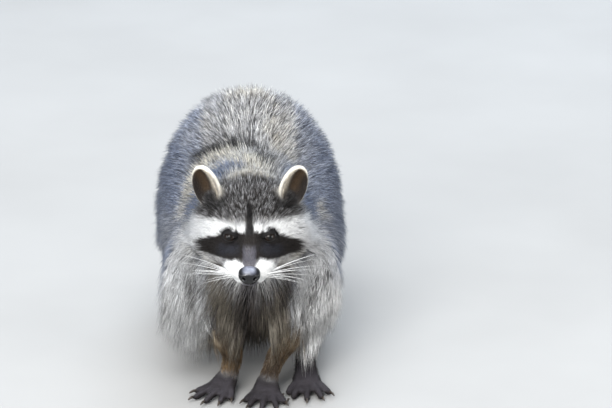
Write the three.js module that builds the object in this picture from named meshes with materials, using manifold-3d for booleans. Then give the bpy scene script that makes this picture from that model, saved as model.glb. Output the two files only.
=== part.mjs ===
// A common raccoon at life size, standing hunched with its head low, as a still model.
// Millimetres, +Z up. The animal faces -Y and its left side is +X. All feet and the tail rest at z = 0.
// Every flesh form is the outline of the coat, out to the hair tips.

import * as THREE from "three";
import { mergeVertices } from "three/addons/utils/BufferGeometryUtils.js";
import Module from "manifold-3d";

const wasm = await Module();
wasm.setup();

// ---- driving dimensions -------------------------------------------------------------------

const BACK_HEIGHT = 312; // floor to the top of the arched back
const BODY_HALF_WIDTH = 122; // at the flanks
const BELLY_HEIGHT = 48; // floor to the lowest belly hair
const CHEEK_HALF_WIDTH = 80; // across the fringes of the cheeks
const EYE_HEIGHT = 209; // floor to the eyes
const EYE_SPACING = 46; // centre to centre
const EYE_RADIUS = 9;
const EAR_HEIGHT = 52;
const HEAD_PITCH = 10; // degrees, nose down
const FINGER_RADIUS = 4.3;
const TOE_RADIUS = 4.6;
const CLAW_LENGTH = 13;
const TAIL_RADIUS = 44; // at the bushy middle
const GAP = 0.3; // between pieces that meet

// ---- colours ------------------------------------------------------------------------------

const finish = (color, roughness, metalness = 0) =>
  new THREE.MeshStandardMaterial({ color, roughness, metalness });

const GREY_COAT = finish(0x7d7a76, 0.95);
const FACE_COAT = finish(0x9a938a, 0.95);
const DARK_COAT = finish(0x3b342e, 0.9);
const TAIL_COAT = finish(0x5f5850, 0.95);
const BARE_SKIN = finish(0x2a2626, 0.6);
const NOSE_SKIN = finish(0x15161a, 0.35);
const EYE_GLASS = finish(0x120c08, 0.08);
const HORN = finish(0x2c2520, 0.4);

// ---- shape helpers ------------------------------------------------------------------------

const vec = (x, y, z) => new THREE.Vector3(x, y, z);

// How wide a ring is at share t of a form whose ends are rounded over share `cap` of its length.
function roundedEnd(t, cap) {
  const share = Math.min(t, 1 - t) / cap;
  return share >= 1 ? 1 : Math.sqrt(1 - (1 - share) ** 2);
}

// An oval, narrower towards the top by `pinch` of its width. Angle 0 is the side and a quarter turn the top.
function oval(angle, pinch) {
  const up = Math.sin(angle);
  return [Math.cos(angle) * (1 - pinch * Math.max(0, up) ** 1.5), up];
}

// A closed form swept through stations {at, wide, over, under}: a centre point, then the reach to each
// side, up and down. A form that runs towards +Y has its up on +Z. `grow` adds a little all round.
function sweep(stations, { sides = 20, rings = 12, cap = 0.2, pinch = 0, grow = 0 } = {}) {
  const centre = new THREE.CatmullRomCurve3(stations.map((s) => vec(...s.at)));
  const reach = new THREE.CatmullRomCurve3(
    stations.map(({ wide, over = wide, under = over }) => vec(wide, over, under)),
  );
  const form = new THREE.SphereGeometry(1, sides, rings);
  const { position, uv } = form.attributes;
  for (let i = 0; i < position.count; i++) {
    const t = 1 - uv.getY(i);
    const [sideways, upwards] = oval(2 * Math.PI * uv.getX(i), pinch);
    const along = centre.getTangent(t);
    const side = vec(1, 0, 0).addScaledVector(along, -along.x).normalize();
    const up = vec(0, 0, 0).crossVectors(side, along);
    const size = reach.getPoint(t);
    const end = roundedEnd(t, cap);
    const lift = upwards > 0 ? size.y : size.z;
    const ends = t < 0.5 ? -1 : 1;
    const point = centre
      .getPoint(t)
      .addScaledVector(side, sideways * (size.x + grow) * end)
      .addScaledVector(up, upwards * (lift + grow) * end)
      .addScaledVector(along, t === 0 || t === 1 ? ends * grow : 0);
    position.setXYZ(i, point.x, point.y, point.z);
  }
  return form;
}

function ball(at, [rx, ry, rz], { sides = 16, rings = 12, grow = 0, turn = [0, 0, 0] } = {}) {
  return new THREE.SphereGeometry(1, sides, rings)
    .scale(rx + grow, ry + grow, rz + grow)
    .rotateX(THREE.MathUtils.degToRad(turn[0]))
    .rotateY(THREE.MathUtils.degToRad(turn[1]))
    .rotateZ(THREE.MathUtils.degToRad(turn[2]))
    .translate(...at);
}

// A geometry as a solid, moved by the groups that will hold it.
function solidOf(geometry, ...groups) {
  const bare = geometry.index ? geometry.toNonIndexed() : geometry.clone();
  bare.deleteAttribute("normal");
  bare.deleteAttribute("uv");
  for (const group of groups) {
    group.updateMatrix();
    bare.applyMatrix4(group.matrix);
  }
  const merged = mergeVertices(bare, 1e-3);
  return new wasm.Manifold(
    new wasm.Mesh({
      numProp: 3,
      vertProperties: merged.attributes.position.array,
      triVerts: new Uint32Array(merged.index.array),
    }),
  );
}

const cut = (solid, ...tools) => tools.reduce((left, tool) => left.subtract(tool), solid);
const joined = (solids) => solids.reduce((all, one) => all.add(one));

// The largest body of a solid, as a named mesh.
function piece(name, solid, material) {
  const [largest] = solid.decompose().sort((a, b) => b.volume() - a.volume());
  const { vertProperties, triVerts } = largest.getMesh();
  const geometry = new THREE.BufferGeometry()
    .setAttribute("position", new THREE.BufferAttribute(vertProperties, 3))
    .setIndex(new THREE.BufferAttribute(triVerts, 1));
  geometry.computeVertexNormals();
  const mesh = new THREE.Mesh(geometry, material);
  mesh.name = name;
  return mesh;
}

const SIDES = { left: 1, right: -1 };
const FLOOR = solidOf(new THREE.BoxGeometry(2000, 2000, 400).translate(0, 0, -200));

// ---- trunk and neck -----------------------------------------------------------------------

const trunkForm = (grow = 0) => {
  const station = (y, top, bottom, wide, middle, shift = 0) => ({
    at: [shift, y, middle],
    wide,
    over: top - middle,
    under: middle - bottom,
  });
  const stations = [
    station(-20, 160, 68, 50, 114),
    station(18, 212, BELLY_HEIGHT - 4, 74, 124),
    station(72, 250, BELLY_HEIGHT - 4, 96, 136),
    station(128, 260, BELLY_HEIGHT - 2, 110, 142, -2),
    station(188, 282, BELLY_HEIGHT - 2, BODY_HALF_WIDTH - 4, 146, -4),
    station(246, BACK_HEIGHT - 2, BELLY_HEIGHT, BODY_HALF_WIDTH, 148, -5),
    station(296, BACK_HEIGHT - 14, BELLY_HEIGHT + 8, BODY_HALF_WIDTH - 8, 150, -4),
    station(342, 264, 74, 96, 154, -2),
    station(382, 222, 108, 62, 162),
  ];
  return sweep(stations, { sides: 24, rings: 16, cap: 0.2, grow });
};

const neckForm = (grow = 0) => {
  const stations = [
    { at: [0, 12, 190], wide: 52, over: 52, under: 50 },
    { at: [0, 48, 198], wide: 66, over: 62, under: 66 },
    { at: [0, 90, 204], wide: 76, over: 74, under: 80 },
    { at: [0, 138, 200], wide: 72, over: 74, under: 90 },
  ];
  return sweep(stations, { sides: 18, rings: 8, cap: 0.32, grow });
};

// ---- head ---------------------------------------------------------------------------------

// The head has its own frame: the origin is midway between the eyes, -Y runs to the nose.
const head = new THREE.Group();
head.position.set(0, -18, EYE_HEIGHT);
head.rotation.x = THREE.MathUtils.degToRad(HEAD_PITCH);

const skullForm = (grow = 0) => {
  const station = (y, middle, wide, top, bottom) => ({
    at: [0, y, middle],
    wide,
    over: top - middle,
    under: middle - bottom,
  });
  const stations = [
    station(-55, -25, 13, -15, -36),
    station(-44, -25, 23, -11, -40),
    station(-31, -25, 30, -5, -43),
    station(-17, -24, 36, 4, -46),
    station(-3, -24, 50, 20, -50),
    station(12, -25, 68, 38, -54),
    station(28, -26, CHEEK_HALF_WIDTH - 1, 52, -56),
    station(44, -26, CHEEK_HALF_WIDTH, 58, -56),
    station(62, -26, CHEEK_HALF_WIDTH - 8, 59, -54),
    station(82, -26, CHEEK_HALF_WIDTH - 26, 50, -50),
  ];
  return sweep(stations, { sides: 24, rings: 20, cap: 0.14, pinch: 0.22, grow });
};

const jawForm = (grow = 0) => {
  const stations = [
    { at: [0, -47, -41], wide: 11, over: 7, under: 6 },
    { at: [0, -32, -43], wide: 18, over: 9, under: 8 },
    { at: [0, -8, -46], wide: 27, over: 12, under: 12 },
    { at: [0, 20, -46], wide: 38, over: 16, under: 20 },
  ];
  return sweep(stations, { sides: 12, rings: 6, cap: 0.28, grow });
};

const noseForm = (grow = 0) => {
  const stations = [
    { at: [0, -45, -23], wide: 9.5, over: 7, under: 8.5 },
    { at: [0, -54, -23.2], wide: 12.6, over: 9.8, under: 10.5 },
    { at: [0, -61, -24], wide: 12.6, over: 9.5, under: 10.5 },
    { at: [0, -66, -24.5], wide: 8.4, over: 6, under: 7.2 },
  ];
  return sweep(stations, { sides: 12, rings: 6, cap: 0.35, grow });
};

const eyeAt = (side) => [(side * EYE_SPACING) / 2, -9, 1];
const eyeForm = (side, grow = 0) =>
  ball(eyeAt(side), [EYE_RADIUS, EYE_RADIUS, EYE_RADIUS], { sides: 12, rings: 7, grow });

// A nostril opens forwards and to the side.
const nostrilForm = (side) =>
  ball([side * 6.8, -67, -25], [2.9, 5, 2.3], { sides: 7, rings: 5, turn: [0, side * 28, side * 24] });

// A rounded ear, cupped forwards.
const EAR_LEAN = 18; // degrees outwards
const EAR_FACING = 22; // degrees turned outwards from straight ahead
const earFrame = (side) => {
  const group = new THREE.Group();
  group.position.set(side * 47.5, 33, 31);
  group.rotation.set(
    THREE.MathUtils.degToRad(-12),
    THREE.MathUtils.degToRad(side * EAR_LEAN),
    THREE.MathUtils.degToRad(side * EAR_FACING),
  );
  return group;
};
const earShell = (grow = 0) => ball([0, 0, 12], [18, 11, EAR_HEIGHT / 2 + 4], { sides: 14, rings: 8, grow });
const earHollow = () => ball([0, -9, 13], [14, 14.5, EAR_HEIGHT / 2 + 0.5], { sides: 12, rings: 8 });

const skull = solidOf(skullForm());
const skullGrown = solidOf(skullForm(GAP));
const jaw = solidOf(jawForm());
const nose = solidOf(noseForm());
const noseGrown = solidOf(noseForm(GAP));
const eyesGrown = Object.values(SIDES).map((side) => solidOf(eyeForm(side, GAP)));

head.add(piece("head", cut(skull, noseGrown, ...eyesGrown), FACE_COAT));
head.add(piece("lower_jaw", cut(jaw, skullGrown, noseGrown), FACE_COAT));
head.add(piece("nose", cut(nose, ...Object.values(SIDES).map((s) => solidOf(nostrilForm(s)))), NOSE_SKIN));
for (const [name, side] of Object.entries(SIDES)) {
  head.add(piece(`eye_${name}`, solidOf(eyeForm(side)), EYE_GLASS));
  const frame = earFrame(side);
  const ear = cut(solidOf(earShell(), frame), solidOf(earHollow(), frame), skullGrown);
  head.add(piece(`ear_${name}`, ear, FACE_COAT));
}

const headGrown = joined([
  solidOf(skullForm(GAP), head),
  solidOf(jawForm(GAP), head),
  ...Object.values(SIDES).map((side) => solidOf(earShell(GAP), earFrame(side), head)),
]);
const neck = cut(solidOf(neckForm()), headGrown);
const neckGrown = solidOf(neckForm(GAP));

// ---- tail ---------------------------------------------------------------------------------

const tailForm = () => {
  const stations = [
    { at: [0, 340, 186], wide: 26 },
    { at: [2, 380, 156], wide: 32 },
    { at: [8, 414, 112], wide: 39 },
    { at: [16, 454, 70], wide: TAIL_RADIUS - 1 },
    { at: [24, 504, TAIL_RADIUS], wide: TAIL_RADIUS },
    { at: [30, 554, TAIL_RADIUS - 4], wide: TAIL_RADIUS - 2 },
    { at: [32, 598, TAIL_RADIUS - 9], wide: TAIL_RADIUS - 12 },
    { at: [30, 628, TAIL_RADIUS - 12], wide: 16 },
  ];
  return sweep(stations, { sides: 12, rings: 14, cap: 0.1 });
};

// The tail is parted into lengths by slits square to the Y axis.
const TAIL_LENGTHS = { base: [300, 438], middle: [438 + GAP, 528], tip: [528 + GAP, 700] };
const slab = ([from, to]) =>
  solidOf(new THREE.BoxGeometry(400, to - from, 800).translate(0, (from + to) / 2, 200));

// ---- legs ---------------------------------------------------------------------------------

const upperLeg = (stations, grow = 0) => sweep(stations, { sides: 11, rings: 7, cap: 0.3, grow });
// Both ends of a lower leg are blunt, because they run into the upper leg and the paw.
const lowerLeg = (stations, grow = 0) => sweep(stations, { sides: 10, rings: 7, cap: 0.1, grow });

// A paw has its own frame on the floor: the origin is under the wrist, the fingers point to -Y.
function pawParts({ side, sole, digits, radius, drop }, grow = 0) {
  const palm = sweep(sole, { sides: 8, rings: 6, cap: 0.22, grow });
  const fingers = digits.map(({ root, length, spread }) => {
    const turn = THREE.MathUtils.degToRad(side * spread);
    const forward = [Math.sin(turn), -Math.cos(turn)];
    const at = (share, height) => [
      side * root[0] + forward[0] * length * share,
      root[1] + forward[1] * length * share,
      height,
    ];
    const stations = [
      { at: at(-0.15, radius + drop), wide: radius * 0.9 },
      { at: at(0.3, radius + drop * 0.7), wide: radius },
      { at: at(0.7, radius - 0.7), wide: radius },
      { at: at(1, radius * 0.9 - 0.8), wide: radius * 0.9 },
    ];
    return sweep(stations, { sides: 8, rings: 4, cap: 0.25, grow });
  });
  return [palm, ...fingers];
}

function clawForm(tip, turn, radius) {
  const stations = [
    { at: [0, 3.5, 0], wide: 1.5, over: 1.8 },
    { at: [0, -2, 0.6], wide: 1.6, over: 2.1 },
    { at: [0, -6.5, -0.6], wide: 1.2, over: 1.6 },
    { at: [0, 3.5 - CLAW_LENGTH, -radius + 1.9], wide: 0.5, over: 0.6 },
  ];
  return sweep(stations, { sides: 5, rings: 3, cap: 0.3 })
    .rotateZ(turn)
    .translate(...tip);
}

const FOREPAW = {
  radius: FINGER_RADIUS,
  drop: 4,
  sole: [
    { at: [0, -29.5, 7.5], wide: 15, over: 5.5, under: 9 },
    { at: [0, -16, 9.5], wide: 18, over: 9, under: 10.5 },
    { at: [0, -3, 14], wide: 15, over: 13, under: 15 },
    { at: [0, 9, 21], wide: 13, over: 14, under: 16 },
  ],
  digits: [
    { root: [-12.5, -13], length: 28, spread: -30 },
    { root: [-8.5, -19], length: 37, spread: -16 },
    { root: [-0.5, -22], length: 41, spread: 0 },
    { root: [7.5, -20], length: 39, spread: 17 },
    { root: [12.5, -13], length: 30, spread: 31 },
  ],
};

const HINDPAW = {
  radius: TOE_RADIUS,
  drop: 4,
  sole: [
    { at: [0, -75.5, 7.5], wide: 15, over: 5.5, under: 9 },
    { at: [0, -60, 9], wide: 19, over: 8, under: 10.2 },
    { at: [0, -34, 11], wide: 16.5, over: 12, under: 12.2 },
    { at: [0, -6, 14], wide: 15, over: 16, under: 15.2 },
    { at: [0, 14, 18], wide: 13, over: 15, under: 19 },
  ],
  digits: [
    { root: [-13, -56], length: 30, spread: -25 },
    { root: [-8.5, -63], length: 37, spread: -17 },
    { root: [-0.5, -66], length: 40, spread: -1 },
    { root: [7.5, -64], length: 38, spread: 17 },
    { root: [12.5, -57], length: 33, spread: 32 },
  ],
};

// Where each paw stands, how it turns about the vertical, and the bones above it.
const LEGS = {
  fore_left: {
    side: 1,
    paw: FOREPAW,
    stands: [20, -8],
    heading: -6,
    upper: [
      { at: [52, 56, 202], wide: 36, over: 46 },
      { at: [66, 64, 156], wide: 47, over: 50 },
      { at: [72, 66, 108], wide: 44, over: 50 },
      { at: [70, 60, 68], wide: 37, over: 42 },
      { at: [62, 50, 36], wide: 20, over: 24 },
    ],
    lower: [
      { at: [52, 40, 78], wide: 26, over: 28 },
      { at: [40, 16, 56], wide: 17, over: 20 },
      { at: [28, 1, 38], wide: 13, over: 14 },
      { at: [17, -16, 10], wide: 12.5, over: 12 },
    ],
  },
  fore_right: {
    side: -1,
    paw: FOREPAW,
    stands: [-27, 7],
    heading: -30,
    upper: [
      { at: [-52, 56, 202], wide: 36, over: 46 },
      { at: [-66, 64, 156], wide: 47, over: 50 },
      { at: [-71, 66, 108], wide: 44, over: 50 },
      { at: [-68, 60, 68], wide: 37, over: 42 },
      { at: [-58, 50, 36], wide: 20, over: 24 },
    ],
    lower: [
      { at: [-40, 42, 78], wide: 26, over: 28 },
      { at: [-27, 22, 56], wide: 18, over: 20 },
      { at: [-22, 13, 38], wide: 13.5, over: 14 },
      { at: [-31, 0, 10], wide: 12.5, over: 12 },
    ],
  },
  hind_left: {
    side: 1,
    paw: HINDPAW,
    stands: [65, 64],
    heading: 2,
    upper: [
      { at: [56, 262, 176], wide: 46, over: 66 },
      { at: [68, 226, 140], wide: 50, over: 64 },
      { at: [78, 186, 110], wide: 42, over: 52 },
      { at: [84, 150, 88], wide: 31, over: 38 },
    ],
    lower: [
      { at: [84, 158, 86], wide: 31, over: 34 },
      { at: [78, 125, 64], wide: 26, over: 28 },
      { at: [71, 92, 42], wide: 20, over: 21 },
      { at: [65, 46, 13], wide: 15, over: 13 },
    ],
  },
  hind_right: {
    side: -1,
    paw: HINDPAW,
    stands: [-76, 300],
    heading: -4,
    upper: [
      { at: [-58, 262, 176], wide: 46, over: 66 },
      { at: [-74, 236, 140], wide: 50, over: 66 },
      { at: [-84, 212, 106], wide: 44, over: 56 },
      { at: [-88, 196, 80], wide: 32, over: 40 },
    ],
    lower: [
      { at: [-87, 204, 78], wide: 32, over: 34 },
      { at: [-84, 236, 62], wide: 28, over: 28 },
      { at: [-80, 270, 44], wide: 21, over: 21 },
      { at: [-75, 306, 17], wide: 15, over: 14 },
    ],
  },
};

function pawFrame({ stands: [x, y], heading }) {
  const frame = new THREE.Group();
  frame.position.set(x, y, 0);
  frame.rotation.z = THREE.MathUtils.degToRad(heading);
  return frame;
}

// ---- assembly -----------------------------------------------------------------------------

const raccoon = new THREE.Group();
raccoon.add(head);
raccoon.add(piece("neck", neck, GREY_COAT));
const trunk = cut(solidOf(trunkForm()), neckGrown, headGrown);
raccoon.add(piece("trunk", trunk, GREY_COAT));
const trunkGrown = joined([solidOf(trunkForm(GAP)), neckGrown, headGrown]);

const tail = cut(solidOf(tailForm()), trunkGrown, FLOOR);
for (const [name, stretch] of Object.entries(TAIL_LENGTHS)) {
  raccoon.add(piece(`tail_${name}`, tail.intersect(slab(stretch)), TAIL_COAT));
}

// Claws stand in the paw's own frame, just past the fingertips.
function addClaws(frame, name, { side, digits, radius }, pawGrown) {
  digits.forEach(({ root, length, spread }, i) => {
    const turn = THREE.MathUtils.degToRad(side * spread);
    const reach = length + 1;
    const tip = [side * root[0] + Math.sin(turn) * reach, root[1] - Math.cos(turn) * reach, radius + 0.4];
    const claw = solidOf(clawForm(tip, turn, radius));
    frame.add(piece(`${name}_claw_${i + 1}`, cut(claw, pawGrown, FLOOR), HORN));
  });
}

// Each leg is cut back from everything placed before it.
const placed = [trunkGrown];
for (const [name, leg] of Object.entries(LEGS)) {
  const paw = { ...leg.paw, side: leg.side };
  const frame = pawFrame(leg);
  const solePieces = pawParts(paw, GAP);
  const pawGrown = joined(solePieces.map((form) => solidOf(form)));
  const pawPlaced = joined(solePieces.map((form) => solidOf(form, frame)));
  const upperGrown = solidOf(upperLeg(leg.upper, GAP));

  const upper = cut(solidOf(upperLeg(leg.upper)), ...placed);
  const lower = cut(solidOf(lowerLeg(leg.lower)), ...placed, upperGrown, pawPlaced, FLOOR);
  const foot = cut(joined(pawParts(paw).map((form) => solidOf(form))), FLOOR);
  raccoon.add(piece(`${name}_upper`, upper, GREY_COAT));
  raccoon.add(piece(`${name}_lower`, lower, DARK_COAT));
  frame.add(piece(`${name}_paw`, foot, BARE_SKIN));
  addClaws(frame, name, paw, pawGrown);
  raccoon.add(frame);
  placed.push(upperGrown, solidOf(lowerLeg(leg.lower, GAP)), pawPlaced);
}

// The origin is at the middle of the footprint, on the floor.
const extent = new THREE.Box3().setFromObject(raccoon);
const middle = extent.getCenter(vec(0, 0, 0));
raccoon.position.set(-middle.x, -middle.y, -extent.min.z);

export default raccoon;
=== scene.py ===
"""A common raccoon, hunched with its head low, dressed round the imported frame.

It adds a skin, a coat, eyes, a nose, claws and whiskers. Everything is in metres in the row frame: the
animal faces -Y, +Z is up and its left side is +X. The face is laid out in millimetres of its own frame.
The skin is one mesh made from the outline of the flesh nodes, drawn in by the depth of the coat.
The coat is many small tapered tufts that start on the skin and end on that outline.
"""

import math

import bmesh
import bpy
import numpy as np
from mathutils import Euler, Matrix, Vector
from mathutils.bvhtree import BVHTree
from mathutils.kdtree import KDTree


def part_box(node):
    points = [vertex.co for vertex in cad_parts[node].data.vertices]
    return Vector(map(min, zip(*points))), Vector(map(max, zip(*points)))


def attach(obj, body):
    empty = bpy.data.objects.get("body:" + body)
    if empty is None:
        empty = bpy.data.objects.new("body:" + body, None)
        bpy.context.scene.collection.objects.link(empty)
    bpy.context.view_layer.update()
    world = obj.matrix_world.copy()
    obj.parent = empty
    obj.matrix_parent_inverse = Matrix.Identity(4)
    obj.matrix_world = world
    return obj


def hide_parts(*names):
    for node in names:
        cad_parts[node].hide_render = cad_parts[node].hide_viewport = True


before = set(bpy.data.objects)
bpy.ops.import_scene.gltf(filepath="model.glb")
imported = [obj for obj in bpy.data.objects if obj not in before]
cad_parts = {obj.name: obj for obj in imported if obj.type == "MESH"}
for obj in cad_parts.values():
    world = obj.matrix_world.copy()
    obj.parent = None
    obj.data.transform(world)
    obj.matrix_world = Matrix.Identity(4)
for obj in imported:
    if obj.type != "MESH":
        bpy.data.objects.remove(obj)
for name in ("Cube", "Light", "Camera"):
    if name in bpy.data.objects:
        bpy.data.objects.remove(bpy.data.objects[name])
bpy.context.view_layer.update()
MM = 0.001
rng = np.random.default_rng(20)

LEGS = [f"{end}_{side}" for end in ("fore", "hind") for side in ("left", "right")]
SIDES = {"left": 1, "right": -1}


# ---- places taken from the frame ----


def middle_of(node):
    low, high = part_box(node)
    return (low + high) / 2


HEAD_PITCH = math.radians(10)  # nose down
EYES = {side: middle_of(f"eye_{side}") for side in SIDES}
BETWEEN_EYES = (EYES["left"] + EYES["right"]) / 2
NOSE = middle_of("nose")
HEAD_TURN = np.array(Matrix.Rotation(HEAD_PITCH, 3, "X"))
# The head's own frame starts 9 mm behind and 1 mm below the middle of the eyes, as in the solids.
HEAD_ORIGIN = np.array(BETWEEN_EYES) - HEAD_TURN @ (np.array([0, -9, 1]) * MM)


def to_head(points):
    """Points of the row frame in the head's own frame, in millimetres."""
    return (points - HEAD_ORIGIN) @ HEAD_TURN / MM


def from_head(points):
    """Points of the head's own frame, in millimetres, in the row frame."""
    return np.asarray(points, float) * MM @ HEAD_TURN.T + HEAD_ORIGIN


# ---- small maths ----


def unit(vectors):
    size = np.linalg.norm(vectors, axis=-1, keepdims=True)
    return vectors / np.maximum(size, 1e-9)


def dot(a, b):
    return (a * b).sum(-1, keepdims=True)


def step(low, high, x):
    """0 below low, 1 above high, smooth between. low may be the larger one."""
    t = np.clip((x - low) / (high - low), 0, 1)
    return t * t * (3 - 2 * t)


def band(x, low, high, soft):
    """1 between low and high, fading over soft at each end."""
    return step(low - soft, low + soft, x) * step(high + soft, high - soft, x)


def mix(a, b, share):
    share = np.asarray(share)[..., None]
    return np.asarray(a) * (1 - share) + np.asarray(b) * share


class Noise:
    """Smooth value noise from -1 to 1 on a lattice of random numbers."""

    SIZE = 32

    def __init__(self, seed, channels=1):
        self.lattice = np.random.default_rng(seed).uniform(-1, 1, (self.SIZE,) * 3 + (channels,))

    def __call__(self, points, spacing):
        """One row of channels for each point. spacing is the size of a lump, in the points' unit."""
        p = np.asarray(points) / spacing
        cell = np.floor(p).astype(int)
        t = p - cell
        t = t * t * (3 - 2 * t)
        total = 0
        for corner in np.ndindex(2, 2, 2):
            weight = np.prod(np.where(corner, t, 1 - t), axis=1)[:, None]
            i, j, k = ((cell + corner) % self.SIZE).T
            total = total + weight * self.lattice[i, j, k]
        return total


patches = Noise(1)
speckle = Noise(2)
sway = Noise(3, channels=3)


# ---- a mesh as arrays ----


class Sheet:
    """A mesh of triangles as arrays, with what is needed to smooth a field over it."""

    def __init__(self, points, triangles):
        self.points = points
        self.triangles = triangles
        sides = np.concatenate([triangles[:, [i, (i + 1) % 3]] for i in range(3)])
        self.edges = np.unique(np.sort(sides, axis=1), axis=0)
        self.degree = np.bincount(self.edges.ravel(), minlength=len(points)).astype(float)

    def around(self, values):
        """The mean over each point's neighbours."""
        a, b = self.edges.T
        flat = values.reshape(len(self.points), -1)
        total = np.empty_like(flat)
        for i in range(flat.shape[1]):
            column = flat[:, i]
            total[:, i] = np.bincount(a, column[b], len(flat)) + np.bincount(b, column[a], len(flat))
        return (total / self.degree[:, None]).reshape(values.shape)

    def smooth(self, values, rounds, share=0.5):
        values = np.array(values, float)
        share = np.asarray(share, float)
        if share.ndim and values.ndim > 1:
            share = share[:, None]
        for _ in range(rounds):
            values = values + share * (self.around(values) - values)
        return values

    def corners(self, values=None):
        values = self.points if values is None else values
        return [values[self.triangles[:, i]] for i in range(3)]

    def face_vectors(self):
        """One vector for each triangle, square to it and twice its area long."""
        a, b, c = self.corners()
        return np.cross(b - a, c - a)

    def normals(self):
        face = self.face_vectors()
        total = np.zeros_like(self.points)
        for i in range(3):
            for axis in range(3):
                total[:, axis] += np.bincount(self.triangles[:, i], face[:, axis], len(total))
        return unit(total)

    def tree(self):
        return BVHTree.FromPolygons(self.points.tolist(), self.triangles.tolist())


def mesh_from(name, points, faces, corners):
    """A mesh whose faces all have the same number of corners."""
    mesh = bpy.data.meshes.new(name)
    count = len(faces)
    mesh.vertices.add(len(points))
    mesh.vertices.foreach_set("co", np.asarray(points, np.float32).ravel())
    mesh.loops.add(count * corners)
    mesh.loops.foreach_set("vertex_index", np.asarray(faces, np.int32).ravel())
    mesh.polygons.add(count)
    mesh.polygons.foreach_set("loop_start", np.arange(0, count * corners, corners, dtype=np.int32))
    mesh.polygons.foreach_set("use_smooth", np.ones(count, bool))
    mesh.update(calc_edges=True)
    return mesh


def paint(mesh, name, colours):
    """Stores one colour for each vertex, or any three or four numbers."""
    layer = mesh.color_attributes.new(name, "FLOAT_COLOR", "POINT")
    rgba = np.ones((len(mesh.vertices), 4), np.float32)
    rgba[:, : np.shape(colours)[-1]] = colours
    layer.data.foreach_set("color", rgba.ravel())


def in_scene(name, data):
    """A new object in the scene that holds data."""
    thing = bpy.data.objects.new(name, data)
    bpy.context.scene.collection.objects.link(thing)
    return thing


def add_piece(name, mesh, material, slot, replaced=()):
    """Puts a mesh in the scene as a piece of the animal."""
    piece = in_scene(name, mesh)
    mesh.materials.clear()
    mesh.materials.append(material)
    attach(piece, "root")
    if replaced:
        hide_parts(*replaced)
    return piece


# ---- materials ----


class Shader:
    """A Principled material, with short ways to add nodes."""

    def __init__(self, name, **values):
        self.material = bpy.data.materials.new(name)
        self.material.use_nodes = True
        self.tree = self.material.node_tree
        self.main = self.tree.nodes["Principled BSDF"]
        for socket, value in values.items():
            self.main.inputs[socket.replace("_", " ").title().replace("Ior", "IOR")].default_value = value

    def node(self, kind, links=(), **settings):
        node = self.tree.nodes.new("ShaderNode" + kind)
        for key, value in settings.items():
            if key in node.inputs:
                node.inputs[key].default_value = value
            else:
                setattr(node, key, value)
        for socket, source in dict(links).items():
            self.tree.links.new(source, node.inputs[socket])
        return node

    def link(self, source, socket):
        self.tree.links.new(source, self.main.inputs[socket])

    def painted(self, name, part="Color"):
        """What paint() stored under this name."""
        return self.node("Attribute", attribute_name=name).outputs[part]

    def pattern(self, kind, output, **settings):
        place = self.node("TexCoord").outputs["Object"]
        return self.node(kind, {"Vector": place}, **settings).outputs[output]

    def noise(self, scale, detail=3.0):
        return self.pattern("TexNoise", "Fac", Scale=scale, Detail=detail)

    def mottled(self, scale, *stops):
        """Two colours blended by noise. stops holds an amount of noise and a colour, twice."""
        node = self.node("ValToRGB", {"Fac": self.noise(scale)})
        for element, (place, colour) in zip(node.color_ramp.elements, stops):
            element.position = place
            element.color = (*colour, 1)
        return node.outputs["Color"]

    def between(self, source, least, most, start=0.0, end=1.0):
        """The source stretched so that start becomes least and end becomes most."""
        limits = {"From Min": start, "From Max": end, "To Min": least, "To Max": most}
        return self.node("MapRange", {"Value": source}, **limits).outputs["Result"]

    def multiplied(self, colour, shade):
        node = self.node("Mix", data_type="RGBA", blend_type="MULTIPLY")
        node.inputs[0].default_value = 1.0
        self.tree.links.new(colour, node.inputs[6])
        self.tree.links.new(shade, node.inputs[7])
        return node.outputs[2]

    def done(self, colour, height, strength, depth, rough=None):
        """The material, with its colour, a bump in metres, and rough as a noise scale and two limits."""
        self.link(colour, "Base Color")
        if rough:
            scale, least, most = rough
            self.link(self.between(self.noise(scale), least, most), "Roughness")
        bump = self.node("Bump", {"Height": height}, Strength=strength, Distance=depth)
        self.link(bump.outputs["Normal"], "Normal")
        return self.material


def coat_material():
    """Hair: the tuft's own colours, broken into short dark and pale dashes, with a soft shine."""
    shader = Shader("raccoon_coat", specular_ior_level=0.18)
    dash = shader.node("Attribute", attribute_name="dash").outputs
    noise = shader.node("TexNoise", {"Vector": dash["Vector"]}, Scale=300.0, Detail=2.0).outputs["Fac"]
    dashes = shader.between(noise, 0.28, 1.5, 0.36, 0.64)
    blend = shader.node("Mix", {"Factor": dash["Alpha"], "B": dashes})
    blend.inputs["A"].default_value = 1.0
    colour = shader.multiplied(shader.painted("coat"), blend.outputs["Result"])
    return shader.done(colour, shader.noise(2600.0), 0.25, 0.0002, (120.0, 0.5, 0.75))


def skin_material():
    """Underfur and thin hair over skin."""
    shader = Shader("raccoon_skin", specular_ior_level=0.12)
    shade = shader.between(shader.noise(420.0, 5.0), 0.65, 1.25)
    colour = shader.multiplied(shader.painted("coat"), shade)
    return shader.done(colour, shader.noise(1400.0, 6.0), 0.5, 0.0006, (300.0, 0.6, 0.9))


# ---- camera, light and floor ----

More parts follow.
